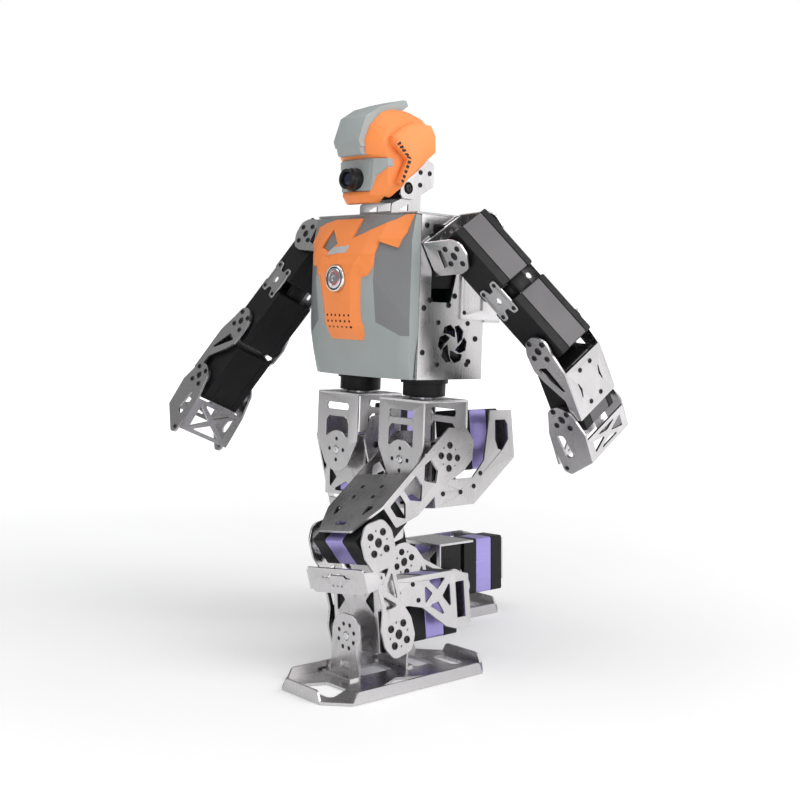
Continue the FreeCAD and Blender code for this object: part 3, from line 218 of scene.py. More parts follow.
M_ALU = brushed("bracket_aluminium", (0.53, 0.52, 0.525), rough=(0.21, 0.35))
M_ALU2 = brushed("frame_aluminium", (0.50, 0.495, 0.50), rough=(0.24, 0.38))
M_HORN = brushed("horn_aluminium", (0.42, 0.42, 0.44), rough=(0.22, 0.36), along=(900, 900, 900), grain=0.02)
M_STEEL = brushed("bright_steel", (0.72, 0.72, 0.74), rough=(0.14, 0.26), along=(700, 700, 700), grain=0.02)
M_VIOLET = brushed("violet_anodised", (0.36, 0.31, 0.66), rough=(0.24, 0.38), along=(1800, 60, 1800), metal=0.75, grain=0.04, tint=0.12, edge_highlight=0.35)
M_GREYM = brushed("servo_grey_panel", (0.125, 0.120, 0.125), rough=(0.44, 0.58), along=(2400, 60, 2400), metal=0.45, grain=0.06, tint=0.14)
M_BLACK = moulded("servo_black", (0.009, 0.009, 0.010), rough=(0.36, 0.52), grain=0.16, scale=2200, spec=0.22, edge_highlight=0.02)
M_BLACK2 = moulded("trim_black", (0.009, 0.009, 0.010), rough=(0.26, 0.40), grain=0.06, spec=0.30, edge_highlight=0.03)
M_DARKIN = moulded("seam_black_and_hole_shade", (0.006, 0.006, 0.006), rough=(0.6, 0.75), grain=0.05, spec=0.2, edge_highlight=0.0)
M_ORANGE = moulded("orange_shell", (0.93, 0.27, 0.065), rough=(0.40, 0.52), grain=0.10, spec=0.42, var=0.04, edge_highlight=0.30)
M_GREY = moulded("grey_shell", (0.335, 0.365, 0.360), rough=(0.42, 0.54), grain=0.10, spec=0.42, var=0.04, edge_highlight=0.25)
M_GREYD = moulded("grey_shell_dark", (0.205, 0.207, 0.212), rough=(0.42, 0.54), grain=0.10, spec=0.40, var=0.04, edge_highlight=0.20)
M_GREYL = moulded("grey_shell_light", (0.45, 0.455, 0.47), rough=(0.38, 0.50), grain=0.08, spec=0.45, var=0.03, edge_highlight=0.2)
M_SCREW = moulded("screw_black_oxide", (0.010, 0.009, 0.010), rough=(0.24, 0.36), grain=0.04, spec=0.35, edge_highlight=0.08)
M_CHROME = brushed("badge_chrome", (0.78, 0.78, 0.80), rough=(0.07, 0.14), along=(500, 500, 500), grain=0.01, tint=0.05)
M_RED = moulded("badge_red", (0.55, 0.045, 0.05), rough=(0.25, 0.35), grain=0.03, spec=0.5, coat=0.6)
M_LENS = glassy("lens_coated", (0.012, 0.014, 0.035))
M_PCB = moulded("board_mask", (0.012, 0.07, 0.035), rough=(0.28, 0.42), grain=0.12, spec=0.5, coat=0.3)
M_CHIP = moulded("chip_epoxy", (0.015, 0.015, 0.016), rough=(0.5, 0.6), grain=0.1)
M_BATT = moulded("battery_wrap", (0.025, 0.05, 0.16), rough=(0.22, 0.34), grain=0.05, coat=0.5)
M_WHITE = moulded("connector_cream", (0.70, 0.68, 0.62), rough=(0.4, 0.5), grain=0.05)
M_LEAD = moulded("lead_black", (0.016, 0.016, 0.018), rough=(0.32, 0.44), grain=0.08)


# ============================ mesh helpers ================================
def finish_mesh(bm, name, mats, body, sharp=32.0, mat4=None, flip=False):
    """Turns a bmesh in row coordinates into a piece; mat4 gives it a local frame for its texture."""
    bmesh.ops.remove_doubles(bm, verts=bm.verts, dist=1e-7)
    if flip:
        bmesh.ops.reverse_faces(bm, faces=bm.faces)
    bm.normal_update()
    lim = math.radians(sharp)
    for e in bm.edges:
        e.smooth = not (len(e.link_faces) != 2 or e.calc_face_angle(0.0) > lim)
    for f in bm.faces:
        f.smooth = True
    me = bpy.data.meshes.new(name)
    if mat4 is not None:
        bmesh.ops.transform(bm, matrix=mat4.inverted(), verts=bm.verts)
        if mat4.determinant() < 0:
            raise ValueError("the texture frame is not a rotation")
    bm.to_mesh(me)
    bm.free()
    for m in mats:
        me.materials.append(m)
    ob = bpy.data.objects.new(name, me)
    bpy.context.scene.collection.objects.link(ob)
    if mat4 is not None:
        ob.matrix_world = mat4
    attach(ob, body)
    return ob


def refine(node, mats, bevel=0.16, angle=40.0, segs=1, sharp=32.0, pick=None, mat4=None, keep=None, name=None, dissolve=False):
    """A detailed copy of a CAD node: welded, edges eased, materials by region. It replaces the node."""
    bm = bmesh.new()
    bm.from_mesh(frame["nodes"][node].data)
    bmesh.ops.remove_doubles(bm, verts=bm.verts, dist=2e-6)
    if keep is not None:
        drop = []
        for isl in islands(bm):
            lo, hi = extent(isl)
            if not keep(lo, hi):
                drop += isl
        if drop:
            bmesh.ops.delete(bm, geom=drop, context="FACES")
    if dissolve:
        bmesh.ops.dissolve_limit(bm, angle_limit=math.radians(0.6), verts=bm.verts, edges=bm.edges)
    bmesh.ops.recalc_face_normals(bm, faces=bm.faces)
    bm.normal_update()
    if pick is not None:
        pick(bm)
    if bevel:
        lim = math.radians(angle)
        bm.faces.ensure_lookup_table()
        tree = BVHTree.FromBMesh(bm)

        def covered(f, mid):
            """True where this face lies flat against a face of the next piece."""
            d = f.calc_center_median() - mid
            if d.length < 1e-9:
                return False
            q = mid + d.normalized() * min(0.00015, d.length * 0.5)
            return any(no.dot(f.normal) < -0.99 for co, no, k, dist in tree.find_nearest_range(q, 4e-6))

        es = []
        for e in bm.edges:
            if len(e.link_faces) == 2 and e.calc_face_angle_signed(0.0) > lim:
                mid = (e.verts[0].co + e.verts[1].co) / 2
                if not any(covered(f, mid) for f in e.link_faces):
                    es.append(e)
        if es:
            bmesh.ops.bevel(bm, geom=es, offset=bevel * MM, offset_type="OFFSET", segments=segs, profile=0.5,
                            affect="EDGES", clamp_overlap=True, loop_slide=True, material=-1)
    ob = finish_mesh(bm, name or ("fine_" + node), mats, BODY[node], sharp, mat4)
    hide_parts(node)
    return ob


def islands(bm):
    left = set(bm.faces)
    out = []
    while left:
        f = left.pop()
        isl, todo = [f], [f]
        while todo:
            g = todo.pop()
            for e in g.edges:
                for h in e.link_faces:
                    if h in left:
                        left.discard(h)
                        isl.append(h)
                        todo.append(h)
        out.append(isl)
    out.sort(key=lambda fs: tuple(round(c, 6) for c in extent(fs)[0]))
    return out


def extent(faces):
    lo = Vector((1e9,) * 3)
    hi = Vector((-1e9,) * 3)
    for f in faces:
        for v in f.verts:
            lo = Vector(map(min, lo, v.co))
            hi = Vector(map(max, hi, v.co))
    return lo, hi


def rrect(x0, x1, y0, y1, r, n=4):
    pts = []
    for cx, cy, a0 in ((x1 - r, y1 - r, 0), (x0 + r, y1 - r, 90), (x0 + r, y0 + r, 180), (x1 - r, y0 + r, 270)):
        for i in range(n + 1):
            a = math.radians(a0 + 90.0 * i / n)
            pts.append((cx + r * math.cos(a), cy + r * math.sin(a)))
    return pts


def loft(bm, rings, T, mat=0, close=True):
    """Rings of local points (mm) with equal counts, skinned; T places them (4x4, mm in, metres out)."""
    vs = [[bm.verts.new(T @ Vector(p)) for p in r] for r in rings]
    n = len(rings[0])
    out = []
    for a, b in zip(vs[:-1], vs[1:]):
        for i in range(n):
            j = (i + 1) % n
            out.append(bm.faces.new((a[i], a[j], b[j], b[i])))
    if close:
        out.append(bm.faces.new(list(reversed(vs[0]))))
        out.append(bm.faces.new(vs[-1]))
    for f in out:
        f.material_index = mat
    return out


def slab(bm, x0, x1, y0, y1, z0, z1, T, mat=0, r=0.6, ch=0.25, n=3):
    """A block with rounded upright edges and chamfered ends."""
    def ring(inset, z):
        q = max(0.05, r - inset)
        return [(x, y, z) for x, y in rrect(x0 + inset, x1 - inset, y0 + inset, y1 - inset, q, n)]
    return loft(bm, [ring(ch, z0), ring(0, z0 + ch), ring(0, z1 - ch), ring(ch, z1)], T, mat)


def lathe(bm, prof, T, mat=0, n=32, mats=None):
    """Profile of (radius, z) pairs turned about local Z. Radius 0 at an end closes it."""
    rings = []
    for r, z in prof:
        if r <= 1e-6:
            rings.append([bm.verts.new(T @ Vector((0, 0, z)))])
        else:
            rings.append([bm.verts.new(T @ Vector((r * math.cos(2 * math.pi * i / n), r * math.sin(2 * math.pi * i / n), z))) for i in range(n)])
    fs = []
    for k, (a, b) in enumerate(zip(rings[:-1], rings[1:])):
        mi = mats[k] if mats else mat
        for i in range(n):
            j = (i + 1) % n
            if len(a) == 1 and len(b) == 1:
                continue
            if len(a) == 1:
                f = bm.faces.new((a[0], b[j], b[i]))
            elif len(b) == 1:
                f = bm.faces.new((a[i], a[j], b[0]))
            else:
                f = bm.faces.new((a[i], a[j], b[j], b[i]))
            f.material_index = mi
            fs.append(f)
    return fs


def screw(bm, T, r=1.7, h=0.9, mat=0, n=24, sink=0.25):
    """Button head with a hexagon recess; local Z is out of the surface."""
    def hexr(R, i):
        a = (360.0 * i / n) % 60.0
        return R * math.cos(math.radians(30)) / math.cos(math.radians(a - 30.0))
    prof = [(r, -sink), (r, h * 0.30), (r * 0.93, h * 0.62), (r * 0.78, h * 0.88), (r * 0.60, h)]
    rings = [[(q * math.cos(2 * math.pi * i / n), q * math.sin(2 * math.pi * i / n), z) for i in range(n)] for q, z in prof]
    for z, R in ((h, r * 0.47), (h * 0.25, r * 0.45)):
        rings.append([(hexr(R, i) * math.cos(2 * math.pi * i / n), hexr(R, i) * math.sin(2 * math.pi * i / n), z) for i in range(n)])
    return loft(bm, rings, T, mat)


def place(origin, z, x=None):
    """4x4 with local Z along z; the origin in mm, in the frame it is multiplied by."""
    z = Vector(z).normalized()
    x = Vector(x) if x is not None else (Vector((1, 0, 0)) if abs(z.x) < 0.9 else Vector((0, 1, 0)))
    y = z.cross(x).normalized()
    x = y.cross(z).normalized()
    m = Matrix((x, y, z)).transposed().to_4x4()
    m.translation = Vector(origin)
    return m


MIR = Matrix.Scale(-1, 4, Vector((1, 0, 0)))
TO_ROW = Matrix.Translation(ORG) @ Matrix.Scale(MM, 4)


def frame_of(origin, x, y, z):
    m = Matrix((x.normalized(), y.normalized(), z.normalized())).transposed().to_4x4()
    m.translation = origin
    return m


def left_like(side, v):
    v = Vector(v)
    return Vector((-v.x, v.y, v.z)) if side == "right" else v


def local_frames(side):
    """Local frames, in mm about the hip point and as on a left limb; the right side is mirrored after."""
    P = {k: left_like(side, (Vector(JT[side + "_" + k]["pos_m"]) - ORG) / MM) for k in
         ("hip_yaw", "hip_pitch", "knee", "ankle_pitch", "shoulder_roll", "elbow", "wrist")}
    xd = left_like(side, JT[side + "_hip_pitch"]["axis"])
    if xd.x < 0:
        xd = -xd
    Y = Vector((0, 1, 0))
    I = (Vector((1, 0, 0)), Y, Vector((0, 0, 1)))
    F = {}
    H, K, A = P["hip_pitch"], P["knee"], P["ankle_pitch"]
    F["hip"] = frame_of(H, *I)
    zb = xd.cross(Y)
    F["hip_block"] = frame_of(H, xd, Y, zb)
    z = (H - K).normalized()
    F["thigh"] = frame_of(H, xd, z.cross(xd), z)
    z = (K - A).normalized()
    F["calf"] = frame_of(K, xd, z.cross(xd), z)
    F["ankle"] = frame_of(A, xd, Y, zb)
    F["foot"] = frame_of(A, *I)
    S, E, W = P["shoulder_roll"], P["elbow"], P["wrist"]
    yd = left_like(side, JT[side + "_shoulder_roll"]["axis"])
    if yd.y < 0:
        yd = -yd
    X = Vector((1, 0, 0))
    F["shoulder"] = frame_of(S, X, yd, X.cross(yd))
    z = (S - E).normalized()
    F["upper_arm"] = frame_of(S, yd.cross(z), yd, z)
    z = (E - W).normalized()
    F["forearm"] = frame_of(E, yd.cross(z), yd, z)
    up = X.cross(yd)
    t = math.radians({"left": -6.0, "right": 18.0}[side])     # hand tilt, as in the solids
    z = (up * math.cos(t) - X * math.sin(t)).normalized()
    F["hand"] = frame_of(W, yd.cross(z), yd, z)
    return F


FR = {s: local_frames(s) for s in ("left", "right")}


def world(side, part, extra=Matrix.Identity(4)):
    m = FR[side][part] @ extra
    return TO_ROW @ (MIR if side == "right" else Matrix.Identity(4)) @ m


def tex_frame(side, part):
    """A pure rotation and place for the piece's texture, along the limb."""
    m = world(side, part)
    loc, rot, sca = m.decompose()
    z = (m.to_3x3() @ Vector((0, 0, 1))).normalized()
    x = (m.to_3x3() @ Vector((1, 0, 0))).normalized()
    y = z.cross(x).normalized()
    r = Matrix((x, y, z)).transposed().to_4x4()
    r.translation = m.translation
    return r


# ============================ camera ======================================
def make_camera():
    a, D, hc = math.radians(45.769), 818.357, 219.409
    a2, pit, roll = math.radians(47.18), math.radians(1.626), math.radians(2.0)
    fwd = Vector((-math.sin(a2), math.cos(a2), 0))
    right = Vector((math.cos(a2), math.sin(a2), 0))
    up = Vector((0, 0, 1))
    pos = Vector((math.sin(a) * D, -math.cos(a) * D, hc)) + right * 23.41
    f2 = fwd * math.cos(pit) + up * math.sin(pit)
    u2 = up * math.cos(pit) - fwd * math.sin(pit)
    cx = right * math.cos(roll) + u2 * math.sin(roll)
    cy = -right * math.sin(roll) + u2 * math.cos(roll)
    cam = bpy.data.cameras.new("camera")
    cam.sensor_fit = "HORIZONTAL"
    cam.sensor_width = 36.0
    cam.lens = 1212.286 / 800.0 * 36.0
    cam.shift_y = -0.15
    cam.clip_start = 0.01
    cam.clip_end = 100
    ob = bpy.data.objects.new("camera", cam)
    bpy.context.scene.collection.objects.link(ob)
    m = Matrix((cx, cy, -f2)).transposed().to_4x4()
    m.translation = lay(*pos)
    ob.matrix_world = m
    bpy.context.scene.camera = ob


make_camera()


# ============================ servos ======================================
def servo(bm, T, L, W, H, e, cf, cr, mid, grey_sides=False):
    """Case towards -Y, output at +Z. Three stacked shells round a dark core, screws, bosses and a socket."""
    h = H / 2
    y0, y1 = -(L - e), e
    def shell(z0, z1, mat, ins=0.0):
        return slab(bm, -W / 2 + ins, W / 2 - ins, y0 + ins, y1 - ins, z0, z1, T, mat, r=1.6 - ins * 0.5, ch=0.28, n=4)
    slab(bm, -W / 2 + 0.6, W / 2 - 0.6, y0 + 0.6, y1 - 0.6, -h + 1, h - 1, T, 2, r=1.0, ch=0.2, n=3)
    shell(h - cf + 0.15, h, 0)
    fs = shell(-h + cr + 0.15, h - cf - 0.15, mid, 0.12)
    shell(-h, -h + cr - 0.15, 0)
    if grey_sides:
        # the grey band is kept on the faces turned outward; the band's other faces take the case's black
        bm.normal_update()
        k = grey_sides * (1 if T.determinant() > 0 else -1)
        for f in fs:
            n = (T.to_3x3().transposed() @ f.normal).normalized()
            if n.x * k < 0.75:
                f.material_index = 0
    for s in (1, -1):
        zf = s * h
        for sx in (-1, 1):
            for yy in (y0 + 3.0, y1 - 3.0):
                Ts = T @ place((sx * (W / 2 - 3.0), yy, zf - s * 0.55), (0, 0, s))
                screw(bm, Ts, 1.2, 0.5, 3, 18, 0.2)
        lathe(bm, [(6.4, zf and 0.0), (6.4, 0.7), (6.1, 0.95), (3.4, 0.95), (3.2, 0.5), (0, 0.5)], T @ place((0, 0, zf), (0, 0, s)), 0, 36)
    # ribs on the rear shell, and the lead socket on the far end
    for k in range(3):
        slab(bm, -W / 2 + 3.2, W / 2 - 3.2, y0 + 9 + 3.0 * k, y0 + 10.2 + 3.0 * k, -h - 0.25, -h + 0.3, T, 0, r=0.5, ch=0.15, n=2)
    slab(bm, -4.1, 4.1, y0 - 0.05, y0 + 1.2, -h + 3.3, -h + 7.1, T, 4, r=0.4, ch=0.12, n=2)
    for k in (-1, 0, 1):
        slab(bm, k * 2.2 - 0.45, k * 2.2 + 0.45, y0 - 0.12, y0 + 0.5, -h + 4.6, -h + 5.5, T, 3, r=0.1, ch=0.05, n=1)


def servo_piece(node, side, part, items):
    bm = bmesh.new()
    flip = side == "right"
    for T, dims, mid, gs in items:
        servo(bm, T, *dims, mid, gs)
    if flip:
        bmesh.ops.reverse_faces(bm, faces=bm.faces)
    ob = finish_mesh(bm, "servo_" + node, [M_BLACK, M_VIOLET if dims[0] < 41 and dims[2] > 35 else M_GREYM, M_DARKIN, M_SCREW, M_BLACK2], BODY[node], 34.0,
                     None if part == "upper_arm" else tex_frame(side, part))
    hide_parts(node)
    return ob


def rows(x, y, z):
    m = Matrix(((x[0], y[0], z[0]), (x[1], y[1], z[1]), (x[2], y[2], z[2]))).to_4x4()
    return m


def at(m, o):
    r = m.copy()
    r.translation = Vector(o)
    return r


LEG = (40.0, 20.0, 40.5, 10.0, 13.0, 11.5)
ARM = (45.2, 24.7, 31.0, 10.8, 7.0, 5.0)
PITCH_DOWN = rows((0, 1, 0), (0, 0, 1), (1, 0, 0))
PITCH_UP = rows((0, -1, 0), (0, 0, -1), (1, 0, 0))
ROLL_UP = rows((-1, 0, 0), (0, 0, -1), (0, -1, 0))
ARM_A = rows((1, 0, 0), (0, 0, 1), (0, -1, 0))
ARM_B = rows((-1, 0, 0), (0, 0, -1), (0, -1, 0))
BACK = 24.0 + 20.25

for side in ("left", "right"):
    thigh_len = (Vector(JT[side + "_hip_pitch"]["pos_m"]) - Vector(JT[side + "_knee"]["pos_m"])).length / MM
    upper_len = (Vector(JT[side + "_shoulder_roll"]["pos_m"]) - Vector(JT[side + "_elbow"]["pos_m"])).length / MM
    fore_len = (Vector(JT[side + "_elbow"]["pos_m"]) - Vector(JT[side + "_wrist"]["pos_m"])).length / MM
    servo_piece(side + "_hip_servos", side, "hip_block", [(world(side, "hip_block", PITCH_DOWN), LEG, 1, False),
                (world(side, "hip_block", at(ROLL_UP, (0, BACK, 0))), LEG, 1, False)])
    servo_piece(side + "_knee_servo", side, "thigh", [(world(side, "thigh", at(PITCH_UP, (0, 0, -thigh_len))), LEG, 1, False)])
    servo_piece(side + "_ankle_servos", side, "ankle", [(world(side, "ankle", PITCH_UP), LEG, 1, False),
                (world(side, "ankle", at(ROLL_UP, (0, BACK, 0))), LEG, 1, False)])
    servo_piece(side + "_upper_arm_servos", side, "upper_arm", [(world(side, "upper_arm", ARM_A), ARM, 1, 1),
                (world(side, "upper_arm", at(ARM_B, (0, 0, -upper_len))), ARM, 1, -1)])
    servo_piece(side + "_wrist_servo", side, "forearm", [(world(side, "forearm", at(ARM_B, (0, 0, -fore_len))), ARM, 1, -1)])


def body_servos(node, items):
    bm = bmesh.new()
    for m, mir, dims in items:
        T = TO_ROW @ (MIR if mir else Matrix.Identity(4)) @ m
        b2 = bmesh.new()
        servo(b2, T, *dims, 1, False)
        if mir:
            bmesh.ops.reverse_faces(b2, faces=b2.faces)
        tmp = bpy.data.meshes.new("tmp")
        b2.to_mesh(tmp)
        b2.free()
        bm.from_mesh(tmp)
        bpy.data.meshes.remove(tmp)
    ob = finish_mesh(bm, "servo_" + node, [M_BLACK, M_VIOLET if items[0][2][2] > 35 else M_GREYM, M_DARKIN, M_SCREW, M_BLACK2], BODY[node], 34.0)
    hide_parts(node)


hip_x = (Vector(JT["left_hip_yaw"]["pos_m"]) - ORG).x / MM
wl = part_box("waist_plate")
waist_z = (wl[0].z) / MM
body_servos("hip_yaw_servos", [(at(rows((1, 0, 0), (0, -1, 0), (0, 0, -1)), (hip_x, 0, waist_z + 2 + 20.25 + 0.8)), m, LEG) for m in (False, True)])
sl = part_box("shoulder_pitch_servos")
sho = (Vector(JT["left_shoulder_pitch"]["pos_m"]) - ORG) / MM
sx1 = (sl[1].x - ORG.x) / MM - 0.8
body_servos("shoulder_pitch_servos", [(at(rows((0, 1, 0), (0, 0, 1), (1, 0, 0)), (sx1 - 15.5, sho.y, sho.z)), m, (40.0, 20.0, 31.0, 10.0, 7.0, 5.0)) for m in (False, True)])
neck = (Vector(JT["head_pan"]["pos_m"]) - ORG) / MM
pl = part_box("neck_pan_servo")
body_servos("neck_pan_servo", [(at(rows((-1, 0, 0), (0, -1, 0), (0, 0, 1)), (0, neck.y, (pl[1].z / MM) - 0.8 - 14.0)), False, (40.0, 20.0, 28.0, 10.0, 7.0, 5.0))])

# ============================ sheet brackets ================================
def is_disc(lo, hi):
    d = sorted(hi - lo)
    return d[2] < 0.0215 and d[1] < 0.0215


def pick_joins(bm):
    for isl in islands(bm):
        lo, hi = extent(isl)
        if max(hi - lo) < 0.017:
            for f in isl:
                f.material_index = 1


def pick_discs(bm):
    for isl in islands(bm):
        lo, hi = extent(isl)
        if is_disc(lo, hi):
            for f in isl:
                f.material_index = 1


PART_OF = {"hip_bracket": "hip", "hip_frame": "hip_block", "thigh_bracket": "thigh", "calf_links": "calf", "calf_plate": "calf",
           "ankle_frame": "ankle", "foot_bracket": "foot", "foot_plate": "foot", "shoulder_bracket": "shoulder",
           "arm_join_plates": "upper_arm", "forearm_bracket": "forearm", "hand_bracket": "hand"}
for side in ("left", "right"):
    for k, part in PART_OF.items():
        node = side + "_" + k
        if k == "arm_join_plates":
            refine(node, [M_ALU2, M_BLACK], bevel=0.22, angle=42.0, pick=pick_joins, mat4=tex_frame(side, part))
            continue
        base = M_ALU
        refine(node, [base, M_HORN], bevel=0.22, angle=42.0, pick=pick_discs, mat4=None if part in ("hand", "forearm") else tex_frame(side, part))
for node in ("torso_chassis", "torso_top_plate", "waist_plate", "port_bracket", "neck_bracket", "head_bracket"):
    refine(node, [M_ALU, M_HORN], bevel=0.22, angle=42.0, pick=pick_discs)
for node, mat in (("hip_yaw_bearings", M_BLACK), ("fan_frame", M_BLACK2), ("fan_rotor", M_BLACK2), ("head_tilt_servo", M_BLACK)):
    refine(node, [mat], bevel=0.25, angle=42.0)

# ============================ screws =========================================
SCREWS = {}


def add_screw(body, T, r=1.7, h=0.85, mat=0, flip=False):
    SCREWS.setdefault(body, []).append((T, r, h, mat, flip))


def ring_pts(u, v, r, n, a0):
    return [(u + r * math.cos(math.radians(a0 + 360.0 * i / n)), v + r * math.sin(math.radians(a0 + 360.0 * i / n))) for i in range(n)]


def limb_screw(side, part, p, n, r=1.7, h=0.85, mat=0):
    body = side + "_" + part
    add_screw(body, world(side, part, place(p, n)), r, h, mat, side == "right")


for side in ("left", "right"):
    thigh_len = (Vector(JT[side + "_hip_pitch"]["pos_m"]) - Vector(JT[side + "_knee"]["pos_m"])).length / MM
    calf_len = (Vector(JT[side + "_knee"]["pos_m"]) - Vector(JT[side + "_ankle_pitch"]["pos_m"])).length / MM
    upper_len = (Vector(JT[side + "_shoulder_roll"]["pos_m"]) - Vector(JT[side + "_elbow"]["pos_m"])).length / MM
    for s in (1, -1):
        x = s * 25.5
        for part, c in (("thigh", 0.0), ("calf", 0.0), ("calf", -calf_len)):
            for u, v in ring_pts(0, c, 7.3, 4, 45):
                limb_screw(side, part, (x, u, v), (s, 0, 0), 2.25, 0.85)
            limb_screw(side, part, (x, 0, c), (s, 0, 0), 2.55, 0.5)
    for u, v in ((-9, -45), (9, -45), (-9, -54.5), (9, -54.5)):
        limb_screw(side, "thigh", (u, -14.0, v), (0, -1, 0), 1.5, 0.35)
    for y, n in ((-20.0, -1), (20.0, 1)):
        for u, v in ring_pts(0, 0, 7.1, 4, 0):
            limb_screw(side, "hip", (u, y, v), (0, n, 0), 1.25, 0.25)
        limb_screw(side, "hip", (0, y + 0.3 * -n, 0), (0, n, 0), 2.6, 0.5, 1)
        for u, v in ring_pts(0, 0, 7.3, 8, 22.5):
            limb_screw(side, "foot", (u, y, v), (0, n, 0), 1.1, 0.2)
        limb_screw(side, "foot", (0, y + 0.3 * -n, 0), (0, n, 0), 2.5, 0.5, 1)
    for u, v in ((31.5, -12.2), (24.5, -20.1), (12, -23), (-4, -23)):
        limb_screw(side, "hip_block", (21.75, u, v), (1, 0, 0), 1.6, 0.8)
    for u, v in ((-5, 23), (5, 23), (17, 27), (21, 17)):
        limb_screw(side, "ankle", (21.75, u, v), (1, 0, 0), 1.5, 0.8)
    for s in (1, -1):
        for part, y, c in (("shoulder", 19.6, 0), ("forearm", 19.6, 0), ("hand", 21.5, 0)):
            for u, v in ring_pts(0, c, 7.3, 4, 45):
                limb_screw(side, part, (u, s * y, v), (0, s, 0), 1.9, 0.75)
            limb_screw(side, part, (0, s * y, c), (0, s, 0), 2.5, 0.5)
        limb_screw(side, "hand", (-7, s * 21.5, -39.5), (0, s, 0), 1.6, 0.7)
        for u in (-6.8, 6.8):
            for v in (-9.2, 9.2):
                limb_screw(side, "upper_arm", (u, s * 16.7, -upper_len / 2 + v), (0, s, 0), 1.5, 0.6)
    for u in (-5.5, 5.5):
        for v in (-21.5, -44.5):
            limb_screw(side, "forearm", (14.6, u, v), (1, 0, 0), 1.6, 0.7)

tilt = (Vector(JT["head_tilt"]["pos_m"]) - ORG) / MM
for s in (1, -1):
    for dy, dz in ((10.5, 11.5), (19, 11.5), (10.5, 3.0)):
        add_screw("head", TO_ROW @ place((s * 18.6, tilt.y + dy, tilt.z + dz), (s, 0, 0)), 1.7, 0.8)
    add_screw("head", TO_ROW @ place((s * 18.6, tilt.y, tilt.z), (s, 0, 0)), 2.6, 0.5)
wall = (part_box("torso_chassis")[1].x - ORG.x) / MM
fan = (Vector(JT["fan_spin"]["pos_m"]) - ORG) / MM
for s in (1, -1):
    for y, z in ((15.5, 245), (15.5, 222)):
        add_screw("torso", TO_ROW @ place((s * (wall + 1.5), y, z), (s, 0, 0)), 1.5, 0.6)
    for dy in (-13.5, 13.5):
        for dz in (-13.5, 13.5):
            add_screw("torso", TO_ROW @ place((s * wall, fan.y + dy, fan.z + dz), (s, 0, 0)), 1.7, 0.8)
# the chassis screws stand where the solids' screw cones are
_bm = bmesh.new()
_bm.from_mesh(frame["nodes"]["chassis_screws"].data)
bmesh.ops.remove_doubles(_bm, verts=_bm.verts, dist=2e-6)
for isl in islands(_bm):
    lo, hi = extent(isl)
    c, d = (lo + hi) / 2, hi - lo
    if d.x < d.y and d.x < d.z:
        s = 1 if c.x > ORG.x else -1
        T = Matrix.Translation(Vector((lo.x if s > 0 else hi.x, c.y, c.z))) @ place((0, 0, 0), (s, 0, 0)) @ Matrix.Scale(MM, 4)
    else:
        T = Matrix.Translation(Vector((c.x, lo.y, c.z))) @ place((0, 0, 0), (0, 1, 0)) @ Matrix.Scale(MM, 4)
    SCREWS.setdefault("torso", []).append((T, 1.9, 1.0, 0, False))
_bm.free()

for body in sorted(SCREWS):
    bm = bmesh.new()
    for T, r, h, mat, flip in SCREWS[body]:
        fs = screw(bm, T, r, h, mat)
        if flip:
            bmesh.ops.reverse_faces(bm, faces=fs)
    ob = finish_mesh(bm, "screws_" + body, [M_SCREW, M_STEEL], body, 30.0)
    if body == "torso":
        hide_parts("chassis_screws")

# ============================ chest ===========================================
def pick_cover(bm):
    for f in bm.faces:
        c = (f.calc_center_median() - ORG) / MM
        n = f.normal
        if n.y > -0.05 or c.y > -25:
            continue
        if 28.4 < abs(c.x) < 49.3 and c.z > 214.0 - (abs(c.x) - 28.5) * 0.516:
            f.material_index = 1
        elif c.z > 262 and abs(c.x) < 28.6:
            f.material_index = 1
        elif abs(c.x) > 49.2:
            f.material_index = 2


cover = refine("chest_cover", [M_GREY, M_GREYD, M_GREYL], bevel=0.7, angle=5.0, segs=2, sharp=20.0, pick=pick_cover, dissolve=True)
panel = refine("chest_panel", [M_ORANGE], bevel=0.55, angle=6.0, segs=2, sharp=20.0, dissolve=True)


def tree_of(*obs):
    vs, fs = [], []
    for ob in obs:
        k = len(vs)
        vs += [ob.matrix_world @ v.co for v in ob.data.vertices]
        fs += [[k + i for i in p.vertices] for p in ob.data.polygons]
    return BVHTree.FromPolygons(vs, fs)


bpy.context.view_layer.update()
chest_tree = tree_of(cover, panel)


def on_front(tree, x, z):
    hit = tree.ray_cast(lay(x, -90, z), Vector((0, 1, 0)))
    return (hit[0], hit[1]) if hit[0] is not None else (None, None)


